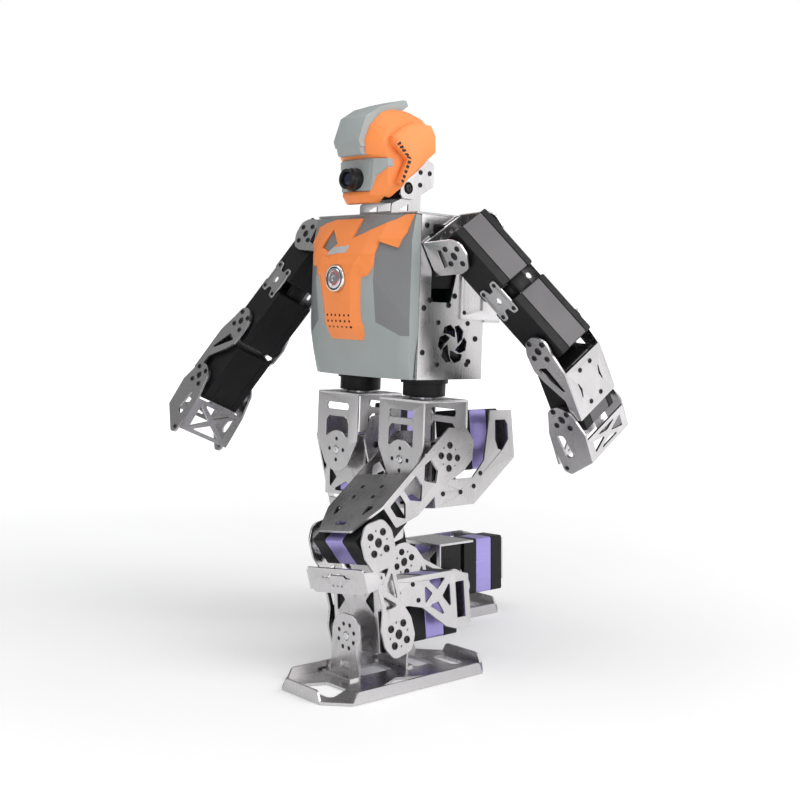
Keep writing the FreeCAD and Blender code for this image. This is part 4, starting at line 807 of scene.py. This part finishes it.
def decal(name, tree, pts, body, mat, lift=0.35, depth=0.6, holes=None, grid=1.0):
    """A thin inlay that follows the surface, cut to an outline in X and Z."""
    bm = bmesh.new()
    vs = [bm.verts.new((p[0], 0, p[1])) for p in pts]
    f = bm.faces.new(vs)
    lo = [min(p[i] for p in pts) for i in (0, 1)]
    hi = [max(p[i] for p in pts) for i in (0, 1)]
    for ax in (0, 1):
        k = math.floor(lo[ax] / grid) * grid + grid
        while k < hi[ax]:
            co = Vector((k, 0, 0)) if ax == 0 else Vector((0, 0, k))
            no = Vector((1, 0, 0)) if ax == 0 else Vector((0, 0, 1))
            bmesh.ops.bisect_plane(bm, geom=bm.verts[:] + bm.edges[:] + bm.faces[:], plane_co=co, plane_no=no)
            k += grid
    bm.normal_update()
    if bm.faces[0:1] and list(bm.faces)[0].normal.y > 0:
        bmesh.ops.reverse_faces(bm, faces=bm.faces)
    ok = {}
    for v in list(bm.verts):
        p, n = on_front(tree, v.co.x, v.co.z)
        if p is None:
            p = lay(v.co.x, -30, v.co.z)
        ok[v] = p
    top = {}
    for v in bm.verts:
        top[v] = ok[v] + Vector((0, -lift, 0)) * MM
    bottom = bmesh.ops.duplicate(bm, geom=bm.verts[:] + bm.edges[:] + bm.faces[:])
    vm = bottom["vert_map"]
    dup_faces = [g for g in bottom["geom"] if isinstance(g, bmesh.types.BMFace)]
    pairs = [(v, vm[v]) for v in list(top)]
    for v, w in pairs:
        w.co = ok[v] + Vector((0, depth, 0)) * MM
        v.co = top[v]
    bmesh.ops.reverse_faces(bm, faces=dup_faces)
    mp = {v: w for v, w in pairs}
    rim = [e for e in bm.edges if len(e.link_faces) == 1 and e.verts[0] in mp and e.verts[1] in mp]
    for e in rim:
        a, b = e.verts
        l = e.link_loops[0]
        if l.vert is a:
            a, b = b, a
        try:
            bm.faces.new((a, b, mp[b], mp[a]))
        except ValueError:
            pass
    return finish_mesh(bm, name, [mat], body, 40.0)


# light rhombus with a slim groove mark, and a dark kite beside the neck
decal("chest_rhombus", chest_tree, [(-12.0, 256.6), (6.0, 258.1), (6.7, 262.7), (-10.3, 261.7)], "torso", M_GREYL, 0.30, 0.6)
decal("chest_kite", chest_tree, [(-22.2, 262.1), (-17.8, 273.8), (-7.1, 264.4), (-13.4, 258.8)], "torso", M_GREYD, 0.22, 0.6)

# speaker holes: three rows of short slots
bm = bmesh.new()
for k, z in enumerate((217.6, 213.8, 210.1)):
    for i in range(6):
        x = -9.8 + 4.2 * i + (0.4 if k == 1 else 0.8 if k == 2 else 0.0)
        p, n = on_front(chest_tree, x, z)
        if p is not None:
            T = Matrix.Translation(p) @ place((0, 0, 0), n if n.y < 0 else -n) @ Matrix.Scale(MM, 4)
            # painted shade: each dimple's dark centre stands in for the shade inside the hole
            lathe(bm, [(1.0, -0.4), (1.0, 0.05), (0.92, 0.09), (0.82, 0.05), (0.80, 0.03), (0, 0.03)], T, 0, 16, mats=[0, 0, 0, 1, 1])
finish_mesh(bm, "speaker_holes", [M_ORANGE, M_DARKIN], "torso", 40.0)

# badge: domed chrome disc with a dark ring and a plain turned centre
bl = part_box("chest_badge")
bc = (bl[0] + bl[1]) / 2
bz = (bc.z) / MM
by = (bl[0].y - ORG.y) / MM
bm = bmesh.new()
T = TO_ROW @ place(((bc.x - ORG.x) / MM, by, bz), (0, -1, 0))
depth = (bl[1].y - bl[0].y) / MM
prof = [(9.9, -depth), (9.9, -1.1), (9.6, -0.55), (9.0, -0.30), (8.4, -0.42), (8.2, -0.9), (7.6, -0.9), (7.4, -0.45), (6.9, -0.15), (5.4, -0.02), (5.1, -0.22), (4.6, -0.22), (4.3, -0.02), (2.0, 0.0), (1.8, -0.25), (0, -0.32)]
k = (bl[1].z - bl[0].z) / MM / 2 / 9.9
lathe(bm, [(r * k, z) for r, z in prof], T, 0, 64,
      mats=[0, 0, 0, 0, 0, 1, 1, 0, 0, 0, 2, 2, 0, 0, 0])
ob = finish_mesh(bm, "badge_disc", [M_CHROME, M_BLACK2, M_RED], "torso", 28.0)
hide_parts("chest_badge")

# ============================ head ==============================================
shell = refine("head_shell", [M_ORANGE], bevel=0.55, angle=6.0, segs=2, sharp=20.0, dissolve=True)
crest = refine("head_crest", [M_GREY, M_GREYL], bevel=0.5, angle=6.0, segs=2, sharp=20.0, dissolve=True)
mask = refine("face_mask", [M_GREY], bevel=0.3, angle=40.0, segs=1, sharp=26.0)
vents = refine("head_vents", [M_ORANGE], bevel=0.12, angle=40.0, segs=1)
V_OUT = [(-30.2, 328.9), (-27.0, 332.4), (-14.9, 320.6), (-22.0, 303.8), (-25.4, 304.6), (-19.4, 320.2)]
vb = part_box("head_vents")
# painted shade: dark blocks fill the vent slots, standing in for the shade inside the openings, where the orange ear
# panel behind would show
for sgn, tag in ((1, "left"), (-1, "right")):
    bm = bmesh.new()
    xo = sgn * max(abs(vb[0].x - ORG.x), abs(vb[1].x - ORG.x)) / MM
    for (a0, a1), (b0, b1), n in (((V_OUT[0], V_OUT[5]), (V_OUT[1], V_OUT[2]), 5), ((V_OUT[5], V_OUT[4]), (V_OUT[2], V_OUT[3]), 5)):
        for i in range(n):
            q = []
            for t, w in ((i + 0.22, 0.14), (i + 0.76, 0.14), (i + 0.94, 0.86), (i + 0.40, 0.86)):
                t /= n
                p0 = [a0[k] + (a1[k] - a0[k]) * t for k in (0, 1)]
                p1 = [b0[k] + (b1[k] - b0[k]) * t for k in (0, 1)]
                q.append([p0[k] + (p1[k] - p0[k]) * w for k in (0, 1)])
            rings = []
            for dx, g in ((-1.2, 1.0), (0.06, 1.0), (0.14, 0.9)):
                cy = sum(v[0] for v in q) / 4
                cz_ = sum(v[1] for v in q) / 4
                rings.append([(xo + sgn * dx, cy + (v[0] - cy) * g, cz_ + (v[1] - cz_) * g) for v in q])
            loft(bm, rings, TO_ROW, 0)
    bmesh.ops.recalc_face_normals(bm, faces=bm.faces)
    finish_mesh(bm, "vent_slots_" + tag, [M_BLACK2], "head", 40.0)
bm = bmesh.new()
slab(bm, -12.6, 12.6, -36.9, -33.0, 318.6, 323.4, TO_ROW, 0, r=1.2, ch=0.3)
finish_mesh(bm, "mask_brow", [M_GREY], "head", 40.0)

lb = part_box("camera_barrel")
lc = (lb[0] + lb[1]) / 2
cz = lc.z / MM
y0 = (lb[0].y - ORG.y) / MM
y1 = (lb[1].y - ORG.y) / MM
L = y1 - y0
bm = bmesh.new()
T = TO_ROW @ place((0, y0, cz), (0, -1, 0))
prof = [(4.55, -6.0), (4.55, -2.2), (4.9, -0.55), (5.6, -0.08), (6.3, -0.05), (6.7, -0.5), (6.7, -3.9), (7.05, -4.3), (7.4, -4.6)]
z = -4.6
for k in range(5):
    prof += [(7.4, z - 0.7), (7.2, z - 0.85), (7.2, z - 1.0), (7.4, z - 1.15)]
    z -= 1.15
prof += [(7.4, -L + 0.4), (7.0, -L), (0, -L)]
lathe(bm, list(reversed(prof)), T, 0, 56)
lathe(bm, list(reversed([(0, -6.2), (4.6, -6.2), (4.6, -5.9), (0, -5.9)])), T, 0, 40)
ob = finish_mesh(bm, "camera_body", [M_BLACK2], "head", 28.0)
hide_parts("camera_barrel")
bm = bmesh.new()
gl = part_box("camera_lens")
gy = (gl[0].y - ORG.y) / MM
T = TO_ROW @ place((0, gy, cz), (0, -1, 0))
dome = [(4.45, -1.9), (4.45, -0.9)] + [(4.3 * math.cos(math.radians(a)), -0.85 + 0.8 * math.sin(math.radians(a))) for a in range(10, 90, 12)] + [(0, -0.04)]
lathe(bm, [(0, -1.95)] + dome, T, 0, 48)
ob = finish_mesh(bm, "lens_dome", [M_LENS], "head", 50.0)
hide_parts("camera_lens")

# ============================ inside ==============================================
refine("battery_pack", [M_BATT], bevel=1.6, angle=40.0, segs=3)


def pick_board(bm):
    for f in bm.faces:
        c = (f.calc_center_median() - ORG) / MM
        if c.y < 28.9:
            f.material_index = 1


refine("controller_board", [M_PCB, M_CHIP], bevel=0.2, angle=40.0, pick=pick_board)

# ============================ stage ===============================================
def make_stage():
    bm = bmesh.new()
    n = 96
    rings = [[(r * math.cos(2 * math.pi * i / n), r * math.sin(2 * math.pi * i / n), z) for i in range(n)] for r, z in ((0.6, 0), (3.0, 0), (14.0, 0))]
    vs = [[bm.verts.new(p) for p in r] for r in rings]
    bm.faces.new(vs[0])
    for a, b in zip(vs[:-1], vs[1:]):
        for i in range(n):
            j = (i + 1) % n
            bm.faces.new((a[i], b[i], b[j], a[j]))
    bmesh.ops.translate(bm, verts=bm.verts, vec=(0, 0, -0.0002))
    me = bpy.data.meshes.new("floor")
    bm.to_mesh(me)
    bm.free()
    m, nt, bs = nodes_of("floor_pale")
    s = noise(nt, coords(nt, (3, 3, 3)), 1.0, 2.0)
    nt.links.new(mix(nt, maprange(nt, s, 0, 1), (0.90, 0.90, 0.91), (0.93, 0.93, 0.935)), bs.inputs["Base Color"])
    nt.links.new(maprange(nt, s, 0.55, 0.62), bs.inputs["Roughness"])
    tc_ = nt.nodes.new("ShaderNodeTexCoord")
    ln_ = nt.nodes.new("ShaderNodeVectorMath")
    ln_.operation = "LENGTH"
    nt.links.new(tc_.outputs["Object"], ln_.inputs[0])
    bs.inputs["Emission Color"].default_value = (0.955, 0.957, 0.96, 1)
    # painted shade: a dark patch in the floor's glow beside the set, to the robot's right front, that only non-camera
    # rays see, so less light and reflection reach the robot's front faces from there
    def along(v, off):
        d = nt.nodes.new("ShaderNodeVectorMath")
        d.operation = "DOT_PRODUCT"
        nt.links.new(tc_.outputs["Object"], d.inputs[0])
        d.inputs[1].default_value = (v[0], v[1], 0.0)
        a = nt.nodes.new("ShaderNodeMath")
        a.operation = "ADD"
        nt.links.new(d.outputs["Value"], a.inputs[0])
        a.inputs[1].default_value = off
        return a.outputs[0]
    # lateral minus half the forward reach, measured from the foot of the camera stand
    painted_shade_patch = maprange(nt, along((-0.70 + 0.72 * 0.52, -0.72 - 0.70 * 0.52), -0.84 * 0.52), 1.0, 0.22, 0.0, 0.35)
    # painted light: the floor glows, weakly near the robot and more strongly with distance from it; the glow also
    # lights the robot
    gl_ = nt.nodes.new("ShaderNodeMath")
    gl_.operation = "MULTIPLY"
    nt.links.new(maprange(nt, ln_.outputs["Value"], 0.08, 0.88, 0.22, 1.9), gl_.inputs[0])
    # camera rays see the full glow; all other rays see it dimmed by the painted shade patch
    seen = nt.nodes.new("ShaderNodeMath")
    seen.operation = "MAXIMUM"
    lp_ = nt.nodes.new("ShaderNodeLightPath")
    nt.links.new(lp_.outputs["Is Camera Ray"], seen.inputs[0])
    nt.links.new(painted_shade_patch, seen.inputs[1])
    nt.links.new(seen.outputs[0], gl_.inputs[1])
    nt.links.new(gl_.outputs[0], bs.inputs["Emission Strength"])
    me.materials.append(m)
    ob = bpy.data.objects.new("floor", me)
    bpy.context.scene.collection.objects.link(ob)

    w = bpy.data.worlds.new("studio")
    bpy.context.scene.world = w
    w.use_nodes = True
    nt = w.node_tree
    for n_ in list(nt.nodes):
        nt.nodes.remove(n_)
    out = nt.nodes.new("ShaderNodeOutputWorld")
    bg = nt.nodes.new("ShaderNodeBackground")
    tc = nt.nodes.new("ShaderNodeTexCoord")
    sep = nt.nodes.new("ShaderNodeSeparateXYZ")
    nt.links.new(tc.outputs["Generated"], sep.inputs[0])
    # room tones: lighter above and to the robot's left rear, darker to its right front
    height = ramp(nt, maprange(nt, sep.outputs["Z"], 0, 1, -0.6, 1.0), [(0.0, 0.50), (0.36, 0.42), (0.42, 0.50), (0.7, 0.62), (1.0, 0.75)])
    dot = nt.nodes.new("ShaderNodeVectorMath")
    dot.operation = "DOT_PRODUCT"
    nt.links.new(tc.outputs["Generated"], dot.inputs[0])
    dot.inputs[1].default_value = (0.83, 0.55, 0.0)
    side = ramp(nt, maprange(nt, dot.outputs["Value"], 0, 1, -1.0, 1.0), [(0.0, 0.50), (0.40, 0.62), (0.72, 1.1), (1.0, 1.65)])
    mul = nt.nodes.new("ShaderNodeMix")
    mul.data_type = "RGBA"
    mul.blend_type = "MULTIPLY"
    mul.inputs[0].default_value = 1.0
    nt.links.new(height, mul.inputs[6])
    nt.links.new(side, mul.inputs[7])
    nt.links.new(mul.outputs[2], bg.inputs[0])
    bg.inputs[1].default_value = 1.0
    white = nt.nodes.new("ShaderNodeBackground")
    white.inputs[0].default_value = (1.0, 1.0, 1.0, 1)
    lp = nt.nodes.new("ShaderNodeLightPath")
    ms = nt.nodes.new("ShaderNodeMixShader")
    nt.links.new(lp.outputs["Is Camera Ray"], ms.inputs[0])
    nt.links.new(bg.outputs[0], ms.inputs[1])
    nt.links.new(white.outputs[0], ms.inputs[2])
    nt.links.new(ms.outputs[0], out.inputs[0])

    def area(name, pos, target, size, power, color=(1, 1, 1), sy=None):
        l = bpy.data.lights.new(name, "AREA")
        l.energy = power
        l.color = color
        l.shape = "RECTANGLE"
        l.size = size
        l.size_y = sy or size
        o = bpy.data.objects.new(name, l)
        bpy.context.scene.collection.objects.link(o)
        o.location = pos
        d = Vector(target) - Vector(pos)
        o.rotation_euler = d.to_track_quat("-Z", "Y").to_euler()
        return o

    c = lay(0, 0, 190)
    area("key_right", c + Vector((1.25, 0.55, 0.75)), c, 0.9, 8.5, (1.0, 0.985, 0.985), 1.2)
    area("fill_left", c + Vector((-0.45, -1.0, 1.3)), c, 0.8, 4.2, (0.97, 0.985, 1.0), 1.1)
    area("top", c + Vector((0.1, -0.2, 1.35)), c, 1.1, 5.5)
    area("front", c + Vector((0.9, -1.3, 0.35)), c, 0.6, 2.4)


make_stage()
sc = bpy.context.scene
sc.view_settings.view_transform = "Standard"
sc.view_settings.look = "None"
sc.view_settings.exposure = 0.0
